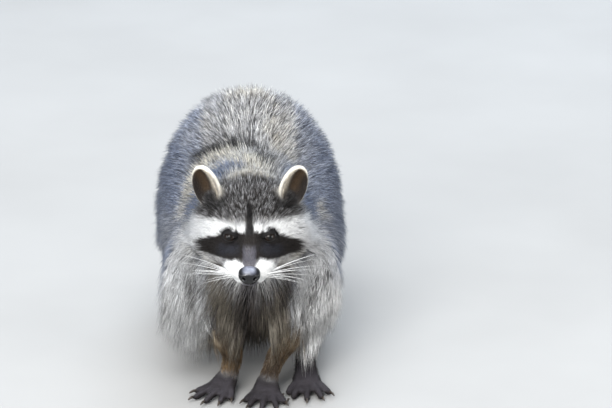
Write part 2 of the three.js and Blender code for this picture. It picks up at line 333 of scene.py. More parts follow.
CAMERA_RISE = math.radians(20)
CAMERA_AIM = (0.0662, 0.1031, 0.0033)  # from between the eyes, so that the animal is left of the middle
CAMERA_DISTANCE = 4.0
CAMERA_LENS = 195.3
LIGHTS = (  # name, place, width, power and colour
    ("sky", (-0.4, -0.7, 3.2), 3.0, 135, (0.96, 0.98, 1.0)),
    ("front", (-1.1, -3.4, 2.0), 2.0, 130, (1.0, 0.985, 0.96)),
    ("rim", (0.6, 2.4, 2.6), 2.0, 110, (0.78, 0.88, 1.0)),
    ("left_side", (-3.0, -2.0, 0.9), 1.7, 62, (0.92, 0.96, 1.0)),
    ("right_side", (3.0, -2.0, 0.9), 1.7, 62, (1.0, 0.98, 0.95)),
)
WORLD_COLOUR = (0.84, 0.9, 1.0, 1)
WORLD_STRENGTH = 0.52
FLOOR_HALF = 9.0
FLOOR_DROP = 0.0006  # keeps the floor just clear of the soles


def add_camera():
    """Looks down at the face along +Y."""
    data = bpy.data.cameras.new("camera")
    data.sensor_width = 36
    data.lens = CAMERA_LENS
    data.clip_end = 40
    camera = in_scene("camera", data)
    away = Vector((0, -math.cos(CAMERA_RISE), math.sin(CAMERA_RISE))) * CAMERA_DISTANCE
    camera.location = Vector(BETWEEN_EYES) + Vector(CAMERA_AIM) + away
    camera.rotation_euler = Euler((math.pi / 2 - CAMERA_RISE, 0, 0))
    bpy.context.scene.camera = camera
    bpy.context.scene.view_settings.view_transform = "Standard"


def add_lights():
    """An overcast sky as square soft boxes: above, and less from the front, behind and both sides."""
    for name, place, size, power, colour in LIGHTS:
        data = bpy.data.lights.new(name, "AREA")
        data.size = size
        data.energy = power
        data.color = colour
        lamp = in_scene(name, data)
        lamp.location = place
        aim = Vector((0, -0.1, 0.15)) - lamp.location
        lamp.rotation_euler = aim.to_track_quat("-Z", "Y").to_euler()
    world = bpy.data.worlds.new("sky")
    bpy.context.scene.world = world
    world.use_nodes = True
    background = world.node_tree.nodes["Background"]
    background.inputs["Color"].default_value = WORLD_COLOUR
    background.inputs["Strength"].default_value = WORLD_STRENGTH


def add_floor():
    shader = Shader("pale_floor", roughness=0.85, specular_ior_level=0.2)
    colour = shader.mottled(3.0, (0.3, (0.33, 0.325, 0.315)), (0.7, (0.36, 0.355, 0.345)))
    material = shader.done(colour, shader.noise(90.0), 0.05, 0.001)
    corners = [(x * FLOOR_HALF, y * FLOOR_HALF, 0) for x, y in ((-1, -1), (1, -1), (1, 1), (-1, 1))]
    mesh = mesh_from("floor", corners, [[0, 1, 2, 3]], 4)
    mesh.materials.append(material)
    floor = in_scene("floor", mesh)
    floor.location.z = -FLOOR_DROP


add_camera()
add_lights()
add_floor()


# ---- the outline: one even sheet round all the flesh ----

FLESH = ["head", "lower_jaw", "ear_left", "ear_right", "neck", "trunk"]
FLESH += ["tail_base", "tail_middle", "tail_tip"]
FLESH += [f"{leg}_{part}" for leg in LEGS for part in ("upper", "lower", "paw")]

ZONES = ("face", "ear", "neck", "body", "sleeve", "thigh", "foreleg", "hindleg", "paw", "tail")


def zone_of(node):
    """The zone of the coat that a flesh node lies in."""
    if node in ("head", "lower_jaw"):
        return "face"
    if node == "trunk":
        return "body"
    if node.startswith(("neck", "ear", "tail")):
        return node.partition("_")[0]
    end, _, part = node.split("_")
    if part == "paw":
        return "paw"
    return {"upper": ("sleeve", "thigh"), "lower": ("foreleg", "hindleg")}[part][end == "hind"]


def flesh_arrays(swell):
    """The flesh nodes joined as arrays, each a little swollen so that they run into each other.

    The eyes are in it too, so that the skin runs over them, as the lids are made from it.
    """
    points, triangles, labels = [], [], []
    start = 0
    for node in [*FLESH, "eye_left", "eye_right"]:
        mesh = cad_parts[node].data
        mesh.calc_loop_triangles()
        co = np.array([v.co for v in mesh.vertices])
        tri = np.array([t.vertices for t in mesh.loop_triangles])
        # Vertices that share a place share a normal, because a mesh may be split at its sharp edges.
        _, same = np.unique(np.round(co / 1e-6).astype(np.int64), axis=0, return_inverse=True)
        same = same.ravel()
        a, b, c = (co[tri[:, i]] for i in range(3))
        face = np.cross(b - a, c - a)
        total = np.zeros((same.max() + 1, 3))
        for i in range(3):
            np.add.at(total, same[tri[:, i]], face)
        grown = swell + (PAW_SWELL if node.endswith("_paw") else 0)
        points.append(co + grown * unit(total)[same])
        triangles.append(tri + start)
        labels.append(np.full(len(tri), FLESH.index(node) if node in FLESH else FLESH.index("head")))
        start += len(co)
    return np.concatenate(points), np.concatenate(triangles), np.concatenate(labels)


def modified(holder, kind, **settings):
    """What a modifier makes of an object, as a bmesh. The object is deleted with its mesh."""
    modifier = holder.modifiers.new(kind, kind)
    for key, value in settings.items():
        setattr(modifier, key, value)
    done = bmesh.new()
    done.from_object(holder, bpy.context.evaluated_depsgraph_get())
    remove(holder)
    return done


def remove(holder):
    mesh = holder.data
    bpy.data.objects.remove(holder)
    bpy.data.meshes.remove(mesh)


def refine(shell, places):
    """Halves the mesh wherever it lies within reach of a place. places holds (centre, reach)."""
    near = {v for v in shell.verts if any((v.co - centre).length < reach for centre, reach in places)}
    edges = [edge for edge in shell.edges if edge.verts[0] in near and edge.verts[1] in near]
    bmesh.ops.subdivide_edges(shell, edges=edges, cuts=1, use_grid_fill=True)


def sheet_from(shell):
    bmesh.ops.triangulate(shell, faces=shell.faces[:])
    shell.verts.index_update()
    points = np.array([v.co for v in shell.verts])
    triangles = np.array([[v.index for v in face.verts] for face in shell.faces])
    shell.free()
    return Sheet(points, triangles)


def thinned(sheet, where, share):
    """The sheet with fewer points, all of them taken from among those that where numbers."""
    holder = in_scene("shell", mesh_from("shell", sheet.points, sheet.triangles, 3))
    holder.vertex_groups.new(name="thin").add(where.tolist(), 1.0, "REPLACE")
    return sheet_from(modified(holder, "DECIMATE", ratio=share, vertex_group="thin"))


def labels_at(points):
    """The flesh node nearest to each point."""
    return flesh_labels[[flesh_tree.find_nearest(p)[2] for p in points.tolist()]]


VOXEL = 2.1 * MM
SWELL = 0.3 * MM
PAW_SWELL = 0.6 * MM  # more, so that the narrow gaps between the roots of the fingers close
FINE_FACE, FINE_EYE, FINE_NOSE = 0.056, 0.0155, 0.017  # the reach of the finer mesh, in metres
FINE_ZONES = ("face", "ear", "paw", "foreleg")  # the rest of the skin is thinned
ZONE_OF_LABEL = np.array([ZONES.index(zone_of(node)) for node in FLESH])

flesh_points, flesh_triangles, flesh_labels = flesh_arrays(SWELL)
flesh_tree = BVHTree.FromPolygons(flesh_points.tolist(), flesh_triangles.tolist())
flesh = in_scene("shell", mesh_from("shell", flesh_points, flesh_triangles, 3))
shell = modified(flesh, "REMESH", mode="VOXEL", voxel_size=VOXEL)
refine(shell, [(Vector(from_head([0, -34, -8])), FINE_FACE)])
refine(shell, [(centre, FINE_EYE) for centre in EYES.values()] + [(NOSE, FINE_NOSE)])
outline = sheet_from(shell)
outline.points = outline.smooth(outline.points, 2)
fine = np.isin(ZONE_OF_LABEL[labels_at(outline.points)], [ZONES.index(zone) for zone in FINE_ZONES])
outline = thinned(outline, np.flatnonzero(~fine), 0.5)

node_label = labels_at(outline.points)
zones = outline.smooth(np.eye(len(ZONES))[ZONE_OF_LABEL[node_label]], 12)


def share_of(*names, weights=None):
    """How far each point belongs to the named zones, from 0 to 1."""
    weights = zones if weights is None else weights
    return sum(weights[:, ZONES.index(name)] for name in names)


# ---- the skin: the outline drawn in by the coat's depth ----

ZONE_DEPTH = {
    "ear": 0.9, "neck": 20, "body": 22, "sleeve": 19, "thigh": 18,
    "foreleg": 4, "hindleg": 5, "paw": 1.3, "tail": 20,
}
MOST_DEPTH = 0.36  # of the way through the body
FAR = 0.4  # metres, more than through any part of the animal


def face_depth(head):
    """The depth of the coat on the head in millimetres, for points of the head's own frame."""
    side, back, up = np.abs(head[:, 0]), head[:, 1], head[:, 2]
    depth = 1.1 + 3.6 * step(-22, 18, back) + 6 * step(18, 60, back)
    depth += 9 * step(44, 74, side) * step(-22, 8, back)
    return depth + 3 * step(-36, -50, up) * step(-30, 0, back)


def coat_depth():
    depth = share_of("face") * face_depth(to_head(outline.points))
    for name, value in ZONE_DEPTH.items():
        depth = depth + value * share_of(name)
    return depth * MM


def thickness(points, normals):
    """How far it is through the body from each point."""
    tree = outline.tree()
    starts = (points - normals * 0.4 * MM).tolist()
    through = [tree.ray_cast(start, back, FAR)[3] for start, back in zip(starts, (-normals).tolist())]
    return np.array([FAR if t is None else t for t in through])


def claw_distance(points):
    """How far each point is from the nearest claw."""
    tree = KDTree(len(LEGS) * 5)
    for i, leg in enumerate(LEGS):
        for j in range(5):
            tree.insert(middle_of(f"{leg}_claw_{j + 1}"), 5 * i + j)
    tree.balance()
    return np.array([tree.find(point)[2] for point in points.tolist()])


def depth_and_skin():
    """The coat's depth at each point of the outline, and the skin's points below it."""
    normals = outline.normals()
    room = thickness(outline.points, normals)
    deep = np.minimum(coat_depth(), MOST_DEPTH * room)
    deep = outline.smooth(deep, 10)
    for name in ("ear", "paw"):
        thin = step(0.3, 0.8, share_of(name))
        deep = deep * (1 - thin) + ZONE_DEPTH[name] * MM * thin
    inward = unit(outline.smooth(normals, 6))
    points = outline.points - inward * deep[:, None]
    furry = step(2.0, 8.0, deep / MM)
    heel = share_of("paw") * step(40, 52, claw_distance(outline.points) / MM)
    return deep, outline.smooth(outline.smooth(points, 8, 0.5 * furry), 60, 0.5 * heel)


depth, skin_points = depth_and_skin()
skin = Sheet(skin_points, outline.triangles)


# ---- eyelids ----

EYE_RADIUS = float(max(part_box("eye_left")[1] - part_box("eye_left")[0])) / 2 / MM - 0.4  # millimetres
EYE_INSET = 0.9 * MM  # behind the frame's eyes, along the gaze
LID_HALF_LENGTH = 7.7
LID_RISE = 3.9  # of the upper lid over the middle line
LID_FALL = 3.6
LID_THICK = 1.0
LID_TILT = math.radians(9)  # the outer corner is the higher one
LID_REACH = 22  # of the skin that is shaped, from the middle of the ball
LID_SNAP = 0.4  # points this close to the edge of a lid are moved onto it, so that it is a clean line
UNDER_LID = 2.6  # how far the skin between the lids lies inside the ball
LID_FADE = (2.2, 8.5)  # past the edge, where the lids run out into the face


def eye_frame(side):
    """Unit vectors of an eye in the row frame: outwards, upwards and along its gaze."""
    gaze = unit(HEAD_TURN @ np.array([0.22 * side, -1, 0.34]))
    across = unit(np.cross(gaze, HEAD_TURN @ np.array([0, 0, 1.0]))) * -side
    up = np.cross(gaze, across) * side
    up = up if up[2] > 0 else -up
    out = math.cos(LID_TILT) * across + math.sin(LID_TILT) * up
    over = math.cos(LID_TILT) * up - math.sin(LID_TILT) * across
    return out, over, gaze


def past_arc(a, b, length, height):
    """How far the place (a, b) lies outside an arc of the given half-length and height."""
    radius = (length**2 + height**2) / (2 * height)
    return np.hypot(a, b + radius - height) - radius


def past_lids(a, b):
    """How far a place lies outside the opening between the lids; negative inside it."""
    upper = past_arc(a, b, LID_HALF_LENGTH, LID_RISE)
    lower = past_arc(a, -b, LID_HALF_LENGTH, LID_FALL)
    return np.maximum(upper, lower)


def sculpt_lids(points):
    """Lays the skin round each eyeball as two lids with a rounded edge."""
    lid_edge = np.full(len(points), 99.0)
    for name, side in SIDES.items():
        out, over, gaze = eye_frame(side)
        centre = np.array(EYES[name]) - gaze * EYE_INSET
        away = (points - centre) / MM
        near = np.linalg.norm(away, axis=1) < LID_REACH
        a, b, ahead = (away[near] @ axis for axis in (out, over, gaze))
        past = past_lids(a, b)
        slide = np.where(np.abs(past) < LID_SNAP, past, 0)
        reach = np.maximum(np.hypot(a, b), 1e-6)
        a, b = a - slide * a / reach, b - slide * b / reach
        past = past_lids(a, b)
        radius = EYE_RADIUS - UNDER_LID + 2.7 * step(-0.5, 0.05, past) + LID_THICK * step(0.0, 1.1, past)
        lid = np.sqrt(np.maximum(radius**2 - a**2 - b**2, 1.0))
        face = step(*LID_FADE, past)
        ahead = np.where(ahead > 0, lid * (1 - face) + ahead * face, ahead)
        placed = a[:, None] * out + b[:, None] * over + ahead[:, None] * gaze
        # Nowhere outside the lids does the skin cut into the ball.
        far = np.linalg.norm(placed, axis=1)
        placed *= np.where(past > 1.1, np.maximum((EYE_RADIUS + 0.9) / far, 1), 1)[:, None]
        points[near] = centre + MM * placed
        lid_edge[near] = np.minimum(lid_edge[near], past)
    return points, lid_edge


skin.points, lid_edge = sculpt_lids(skin.points.copy())


skin_normals = skin.normals()


# ---- ears ----

EAR_FOOT = np.array([47.5, 33, 31])  # in the head's own frame
EAR_TURN = [math.radians(angle) for angle in (-12, 18, 22)]  # back, outwards, and facing outwards


def ear_axes(side):
    """The axes of an ear: across it, out of its back, and up to its tip, in the head's own frame."""
    back, lean, facing = EAR_TURN
    turn = Matrix.Rotation(back, 3, "X") @ Matrix.Rotation(side * lean, 3, "Y")
    return np.array(turn @ Matrix.Rotation(side * facing, 3, "Z"))


def to_ear(head):
    """Points of the head's frame in the frame of the nearer ear, with x growing outwards."""
    local = np.empty_like(head)
    for side in SIDES.values():
        own = head[:, 0] * side > 0
        local[own] = (head[own] - EAR_FOOT * [side, 1, 1]) @ ear_axes(side) * [side, 1, 1]
    return local


def ear_paint(head):
    """How far each place is on an ear's rim, and how far inside its cup."""
    ear = to_ear(head)
    edge = np.hypot(ear[:, 0] / 18, (ear[:, 2] - 12) / 29)
    hollow = np.linalg.norm((ear - [0, -9, 13]) / [14, 14.5, 26.5], axis=1)
    inside = step(1.16, 1.04, hollow)
    rim = step(0.82, 0.94, edge) * step(-10, -2, ear[:, 2]) * step(7.0, 3.0, ear[:, 1])
    return rim, inside, ear


# ---- the lie of the coat ----


def along(start, end):
    """The direction from the middle of one node to that of another."""
    return np.array((middle_of(end) - middle_of(start)).normalized())


def raw_flow(head, normals):
    """Which way the hair points from root to tip, before it is laid onto the skin."""
    flow = np.zeros((len(head), 3))
    side = np.clip(head[:, 0] / 30, -1, 1)
    facing = (normals[:, 1] < -0.35) & (skin.points[:, 2] < 0.18)

    def put(where, x, y, z):
        for axis, value in enumerate((x, y, z)):
            flow[where, axis] = value[where] if np.ndim(value) else value

    nodes = {node: node_label == label for label, node in enumerate(FLESH)}
    body = nodes["trunk"]
    put(body, side * 0.35, 1.0, -0.12 - 0.75 * np.abs(normals[:, 0]) ** 1.5)
    put(body & facing, side * 0.1, 0.1, -1.0)
    put(nodes["neck"], side * 0.35, 1.0, -0.55 * np.abs(normals[:, 0]))
    put(nodes["neck"] & facing, side * 0.3, 0.2, -0.8)
    for leg in LEGS:
        upper, lower, paw = (f"{leg}_{part}" for part in ("upper", "lower", "paw"))
        down = along(upper, lower) * 0.5 + np.array([0, 0.12, -0.75])
        flow[nodes[upper]] = down
        flow[nodes[lower]] = along(lower, paw)
        claws = sum(np.array(middle_of(f"{leg}_claw_{i}")) for i in range(1, 6)) / 5
        flow[nodes[paw]] = unit(claws - np.array(middle_of(paw))) * [1, 1, 0.3]
    tail = [f"tail_{part}" for part in ("base", "middle", "tip")]
    for start, end, node in ((0, 1, 0), (0, 2, 1), (1, 2, 2)):
        flow[nodes[tail[node]]] = along(tail[start], tail[end])
    # On the head the hair runs away from the nose, and on the cheeks outwards and down.
    away = unit(head - np.array([0, -70, -26]))
    cheek = step(30, 66, np.abs(head[:, 0]))
    away += np.stack([0.45 * cheek * side, 0 * cheek, -0.5 * cheek], 1)
    on_head = nodes["head"] | nodes["lower_jaw"]
    flow[on_head] = (away @ HEAD_TURN.T)[on_head]
    for name, sign in SIDES.items():
        ear = nodes[f"ear_{name}"]
        flow[ear] = HEAD_TURN @ ear_axes(sign) @ np.array([0, 0, 1.0])
    return unit(flow)


def laid(vectors, normals):
    """Vectors turned to lie on the skin."""
    return unit(vectors - dot(vectors, normals) * normals)


head_points = to_head(skin.points)
flow = laid(raw_flow(head_points, skin_normals), skin_normals)
flow = laid(skin.smooth(flow, 16), skin_normals)


# ---- markings ----

BLACK = (0.010, 0.009, 0.009)
DARK = (0.036, 0.030, 0.027)
BROWN = (0.075, 0.050, 0.030)
TAN = (0.26, 0.165, 0.075)
GREY = (0.20, 0.195, 0.195)
# Painted light: the blue of hair in shade, lit by the sky.
BLUE_GREY = (0.135, 0.19, 0.32)
SILVER = (0.56, 0.56, 0.57)
CREAM = (0.74, 0.68, 0.55)
WHITE = (0.90, 0.90, 0.89)
BARE = (0.020, 0.017, 0.018)
# Painted highlight on the tops of the fingers.
KNUCKLE_HIGHLIGHT = (0.07, 0.064, 0.074)
# The bridge of the nose: partly its own pale grey, partly painted sky sheen.
BRIDGE_SHEEN = (0.17, 0.165, 0.20)
EAR_BROWN = (0.13, 0.07, 0.035)
SHEEN = ((0.04, 0.043, 0.056), (0.075, 0.08, 0.11))  # painted sky sheen on the mask, at the middle and tip
CHEST_TOP = 0.165  # above the floor


def face_paint(head):
    """The mask, brows, blaze, bridge and pads as amounts from 0 to 1, in the head's own frame."""
    side = np.abs(head[:, 0])
    ragged = speckle(head, 4.0)[:, 0] * 1.4 + patches(head, 11.0)[:, 0]
    rise = rise_on_face(head) + ragged
    top = 7 + 1.5 * band(side, 13, 32, 4) - 0.33 * np.maximum(side - 30, 0)
    bottom = -22.4 + 0.42 * np.maximum(side - 28, 0)
    mask = step(top + 1.2, top - 1.2, rise) * step(bottom - 1.5, bottom + 1.5, rise)
    mask *= step(56.5, 51.5, side + ragged) * step(2.5, 6, side)
    brow_top = 17 + 0.26 * np.maximum(side - 15, 0)
    brow = step(top, top + 2, rise) * step(brow_top + 4, brow_top - 4, rise) * step(4.0, 6.0, side)
    brow *= 1 - 0.85 * band(side - 0.1 * rise, 13.0, 14.6, 0.9) * step(22, 14, rise)
    fringe = step(52, 58, side + ragged) * step(-30, -18, rise) * step(34, 24, rise)
    half_blaze = 3.1 + 1.4 * step(30, 6, rise)
    blaze = step(half_blaze + 1.3, half_blaze - 1.3, side) * step(-12, -4, rise) * step(46, 34, rise)
    bridge = step(9.0, 6.0, side) * step(-4, -15, rise) * step(-60, -50, rise)
    pads = step(1.25, 0.95, np.hypot((side - 18.5) / 12.5, (rise + 37.5) / 13))
    return mask, np.maximum(brow, fringe), blaze, bridge, pads, rise


def rise_on_face(head):
    """Height over the eyes, measured square to the face, which slopes back at 30 degrees."""
    return 0.5 * (head[:, 1] + 18) + 0.866 * (head[:, 2] - 1)


def on_crown(rise):
    """1 over the brows, where the face turns into the crown."""
    return step(18, 28, rise)


class Shades:
    """Colours of the hair at root, middle and tip, from the whole body down to single marks."""

    def __init__(self, points, normals, weights, chance, near_eye):
        """chance holds random numbers, and near_eye how many millimetres off the edge of the lids is."""
        self.points, self.normals, self.weights, self.chance = points, normals, weights, chance
        self.near_eye = near_eye
        self.height = points[:, 2]
        self.head = to_head(points)
        self.side = np.abs(self.head[:, 0])
        self.grain = patches(points, 0.03)[:, 0] + 0.5 * speckle(points, 0.008)[:, 0]
        # Tufts that stand together share half of their tone.
        own_tone = 0.5 * chance[:, 2] + 0.25
        self.tone = np.clip(own_tone + 0.45 * speckle(points, 0.0034)[:, 0], 0, 1)
        self.fine_tone = np.clip(own_tone + 0.45 * patches(points, 0.0021)[:, 0], 0, 1)
        lock = speckle(points * [1, 1, 0.5], 0.009)[:, 0]
        self.lock_tone = np.clip(0.35 * chance[:, 2] + 0.36 + 0.75 * lock, 0, 1)
        # Painted sky light: the blue-grey cast of hair that the sky lights from the side.
        pale_blue = mix(BLUE_GREY, SILVER, 0.3)
        self.skylit = mix(mix(DARK, BLUE_GREY, 0.6), pale_blue, step(0.3, 0.65, self.tone))
        self.mask, self.brow, self.blaze, self.bridge, self.pads, self.rise = face_paint(self.head)
        self.colours = self.salt_and_pepper()
        self.flanks()
        self.forequarters()
        self.chest()
        self.ruff()
        self.face()
        self.ears()
        self.legs()
        self.tail()

    def of(self, *names):
        return share_of(*names, weights=self.weights)

    def tint(self, amount, *colours):
        """Lays colours for root, middle and tip over the present ones. The last one fills the rest."""
        colours += colours[-1:] * (3 - len(colours))
        amount = np.clip(amount, 0, 1)
        self.colours = [mix(present, colour, amount) for present, colour in zip(self.colours, colours)]

    def salt_and_pepper(self):
        """Dark roots, a pale band, and tips that are black on some hairs."""
        # Painted top light: hair that faces up on the body and thighs gets tan roots and a paler band.
        back = self.of("body", "thigh") * step(0.0, 0.5, self.normals[:, 2])
        under = mix(mix(DARK, GREY, 0.4 + 0.6 * self.tone), TAN, 0.15 * back)
        middle = mix(GREY, SILVER, step(0.15, 0.6, self.tone + 0.1 * back))
        middle = mix(middle, CREAM, (0.3 + 0.35 * back) * step(0.0, 0.8, self.grain))
        tip = mix(mix(SILVER, GREY, 0.35), mix(CREAM, WHITE, 0.3), step(0.4, 0.75, self.tone))
        pepper = mix(mix(BLACK, BROWN, 0.5), GREY, 0.4 * self.chance[:, 1])
        return [under, middle, mix(tip, pepper, step(0.5, 0.38, self.tone))]

    def flanks(self):
        """Painted sky light: hair that faces sideways turns blue-grey, which fades towards the rump."""
        flank = self.of("body", "thigh", "neck") * step(0.3, 0.75, np.abs(self.normals[:, 0]))
        flank *= 0.8 - 0.4 * step(-0.15, 0.4, self.normals[:, 1])
        self.tint(flank, mix(GREY, BLUE_GREY, 0.5), self.skylit)

    def forequarters(self):
        """The long hair of the upper forelegs, with white locks outside, and the shoulders above it."""
        side, height, grain, skylit = self.side, self.height, self.grain, self.skylit
        sleeve = self.of("sleeve")
        inner = mix(mix(BROWN, DARK, 0.6), mix(CREAM, SILVER, 0.4), 0.8 * step(0.3, 0.6, self.lock_tone))
        self.tint(sleeve * step(62, 38, side) * 0.85, BLACK, mix(inner, GREY, 0.5), inner)
        outer = step(38, 70, side + 8 * grain) * step(CHEST_TOP, 0.115, height + 0.012 * grain)
        frosted = mix(mix(GREY, SILVER, 0.5), WHITE, step(0.17, 0.38, self.lock_tone))
        self.tint(sleeve * outer * 0.98, mix(SILVER, WHITE, 0.4), mix(frosted, WHITE, 0.4), frosted)
        # Painted sky light: the top of the outer sleeve turns blue-grey.
        self.tint(sleeve * step(0.12, 0.155, height) * step(54, 76, side) * 0.75, GREY, skylit)
        # Painted shade beside the head: the shoulders there are darker and bluer.
        shoulder = self.of("body", "neck", "sleeve") * step(68, 84, side)
        shoulder *= band(height, CHEST_TOP, 0.265, 0.02) * step(0.3, -0.1, self.normals[:, 1])
        self.tint(shoulder * 0.6, mix(DARK, BLUE_GREY, 0.5), mix(skylit, DARK, 0.35), mix(skylit, DARK, 0.25))

    def chest(self):
        """Dark brown with pale strands at the sides, and a collar of ashen locks on either side of it."""
        side, height, ahead = self.side, self.height, self.normals[:, 1]
        front = self.of("body", "neck") * step(-0.1, -0.5, ahead) * step(72, 36, side)
        front *= step(0.2, CHEST_TOP, height) * (1 - step(0.1, 0.13, height) * step(34, 50, side))
        strands = step(0.35, 0.6, self.lock_tone) * step(5, 18, side + 8 * self.grain)
        pale = mix(mix(BLACK, BROWN, 0.7 * self.chance[:, 0]), mix(CREAM, TAN, 0.3), 0.45 * strands)
        self.tint(front * 0.94, BLACK, mix(pale, DARK, 0.3), pale)
        collar = self.of("body", "neck", "sleeve") * step(34, 50, side) * step(0.19, CHEST_TOP, height)
        collar = collar * step(0.085, 0.12, height) * step(-0.1, -0.4, ahead)
        ashen = mix(mix(GREY, BROWN, 0.3), mix(SILVER, WHITE, 0.8), step(0.2, 0.42, self.lock_tone))
        self.tint(collar * 0.85, mix(GREY, SILVER, 0.4), ashen)

    def ruff(self):
        """A cream arch over the nape that runs down behind the ears, with a painted shadow line above it.

        Between it and the crown the hair is painted shade, blue-grey.
        """
        head, rise = self.head, self.rise
        nape = self.of("neck", "face", "body") * step(8, 34, rise) * step(60, 76, head[:, 1])
        nape *= step(0.3, -0.05, self.normals[:, 1])
        ring = np.hypot(self.side, rise - 18)
        arch = np.hypot(head[:, 0] + 24, rise - 50)
        low_arch = 0.65 * band(ring, 62, 75, 3) * step(46, 36, rise)
        cream = np.maximum(band(arch, 28, 43, 3) * step(34, 48, rise), low_arch)
        pale = mix(mix(GREY, CREAM, 0.5), mix(CREAM, WHITE, 0.15), step(0.3, 0.6, self.tone))
        self.tint(nape * cream * 0.95, mix(DARK, GREY, 0.5), pale)
        # Painted shade: blue-grey hair between the arch and the crown.
        painted_shade_band = np.maximum(band(ring, 40, 57, 3) * step(60, 40, rise), step(29, 25, arch))
        painted_shade_band *= step(60, 70, head[:, 1])
        shade = mix(BLUE_GREY, DARK, 0.2)
        self.tint(nape * painted_shade_band * 0.9, DARK, shade, mix(shade, SILVER, 0.25))
        # Painted shadow: a black line above the arch, where the ruff shades the hair behind it.
        line = nape * band(arch, 45, 57, 2) * band(head[:, 0], -62, 22, 10) * step(56, 70, rise)
        self.tint(line * 0.95, BLACK, BLACK, mix(BLACK, GREY, 0.4 * self.tone))

    def face(self):
        """Crown, fringes, cheeks and chin, and then the mask and the other marks, down to the lids."""
        head, side, rise, first = self.head, self.side, self.rise, self.chance[:, 0]
        face = self.of("face")
        salted = mix(mix(BLACK, DARK, 0.6), mix(GREY, SILVER, 0.55), step(0.4, 0.62, self.fine_tone))
        crown = face * on_crown(rise)
        self.tint(crown * 0.97, BLACK, mix(salted, DARK, 0.6), salted)
        # Pale tips along the crown's back edge: partly the coat's own colour, partly a painted rim
        # highlight.
        fringe = face * step(62, 70, rise + 6 * self.grain) * step(36, 46, head[:, 1])
        self.tint(fringe * 0.75, GREY, mix(GREY, CREAM, 0.6), mix(mix(GREY, SILVER, 0.5), CREAM, first))
        salted = mix(mix(GREY, BROWN, 0.25), mix(CREAM, WHITE, 0.6), step(0.17, 0.45, self.tone))
        cheek = face * step(-14, -24, rise) * step(30, 44, side)
        self.tint(cheek * 0.9, GREY, mix(salted, SILVER, 0.5), salted)
        chin = face * step(-24, -40, head[:, 2]) * step(-28, -8, head[:, 1]) * step(46, 30, side)
        self.tint(chin * 0.85, DARK, BROWN, mix(DARK, CREAM, 0.6 * step(0.5, 0.7, self.tone)))
        greyed = 0.5 * step(40, 58, side) + 0.35 * step(0.45, 0.3, self.fine_tone)
        self.tint(face * self.brow, mix(WHITE, SILVER, greyed))
        self.tint(face * self.mask, BLACK, mix(BLACK, DARK, 0.6), mix(BLACK, DARK, first))
        # Painted sky sheen: a slate-blue shine on the mask below the eyes.
        sheen = face * band(side, 12, 36, 6) * band(rise, -17, -6, 4)
        self.tint(sheen * (0.35 + 0.5 * self.fine_tone), BLACK, *SHEEN)
        self.tint(face * self.blaze * 0.95, BLACK, BLACK, mix(BLACK, DARK, 0.5))
        between = face * step(8.5, 5.5, side) * step(7, 2, rise) * step(-16, -8, rise)
        self.tint(between * 0.9, BLACK, DARK)
        # The bridge of the nose: pale bluish hair tips, partly its own colour, partly painted sky sheen.
        self.tint(face * self.bridge * 0.9, DARK, mix(DARK, BRIDGE_SHEEN, 0.7), BRIDGE_SHEEN)
        beside = face * band(side, 7.5, 11.5, 1.5) * step(-14, -18, rise) * step(-30, -25, rise)
        self.tint(beside * 0.8, BLACK, DARK)
        self.tint(face * self.pads, WHITE)
        lid = 3.4 + 1.8 * step(0, 4, rise)
        self.tint(face * step(lid, lid - 1.8, self.near_eye), BLACK)

    def ears(self):
        """Dark inside, grey-brown behind, with a pale rim and black hair at the foot."""
        ear, first = self.of("ear"), self.chance[:, 0]
        rim, inside, place = ear_paint(self.head)
        across, out, up = place.T
        self.tint(ear, DARK, mix(DARK, GREY, 0.4), mix(DARK, GREY, first))
        self.tint(ear * inside, BLACK, DARK, mix(DARK, BROWN, 0.5))
        self.tint(ear * inside * band(across, -2, 8, 4) * step(2, 10, up) * 0.8, BROWN, BROWN, EAR_BROWN)
        inner_edge = inside * step(-2, -8, across) * step(-10, -2, up)
        pale = mix(mix(CREAM, TAN, 0.5), WHITE, first)
        self.tint(ear * inner_edge * 0.9, GREY, mix(CREAM, TAN, 0.4), pale)
        foot = self.of("face") * step(26, 16, np.hypot(across, out + 4)) * step(16, 8, up)
        greyed = mix(BLACK, GREY, 0.6 * step(0.5, 0.7, self.tone))
        self.tint(foot * step(30, 38, self.rise) * 0.8, BLACK, BLACK, greyed)
        self.tint(ear * rim, CREAM, mix(CREAM, WHITE, 0.4), mix(CREAM, WHITE, 0.7))

    def legs(self):
        """Rust-brown forearms, golden above, dark shins, and near-black paws with painted highlights."""
        grain, tone = self.grain, self.tone
        arm = self.of("foreleg")
        rust = mix(mix(DARK, BROWN, 0.8), TAN, step(0.3, 0.8, 0.6 * tone + 0.25 * grain + 0.15))
        self.tint(arm, DARK, mix(rust, BROWN, 0.5), rust)
        gold = mix(mix(DARK, TAN, 0.5), mix(TAN, CREAM, 0.6), step(0.35, 0.65, tone))
        golden = arm * step(0.05, 0.08, self.height + 0.008 * grain)
        self.tint(golden * 0.85, DARK, mix(gold, DARK, 0.3), gold)
        frosted = mix(DARK, SILVER, 0.6 * step(0.4, 0.8, tone))
        self.tint(self.of("hindleg"), DARK, mix(DARK, GREY, 0.4), frosted)
        # Painted highlight: the upper sides of the fingers, low on the paw, are paler and bluish.
        finger_highlight = step(0.45, 0.95, self.normals[:, 2]) * step(0.026, 0.014, self.height)
        bare = mix(BARE, KNUCKLE_HIGHLIGHT, np.clip(finger_highlight * (0.5 + 0.3 * grain), 0, 1))
        self.tint(self.of("paw"), bare, bare, mix(bare, mix(DARK, GREY, 0.3), 0.4))

    def tail(self):
        """Dark rings on tan-grey, and a dark tip."""
        tail = self.of("tail")
        middle = mix(GREY, CREAM, 0.7 * self.chance[:, 0])
        self.tint(tail, GREY, middle, mix(SILVER, CREAM, self.chance[:, 1]))
        self.tint(tail * tail_rings(self.points), BLACK, BLACK, DARK)


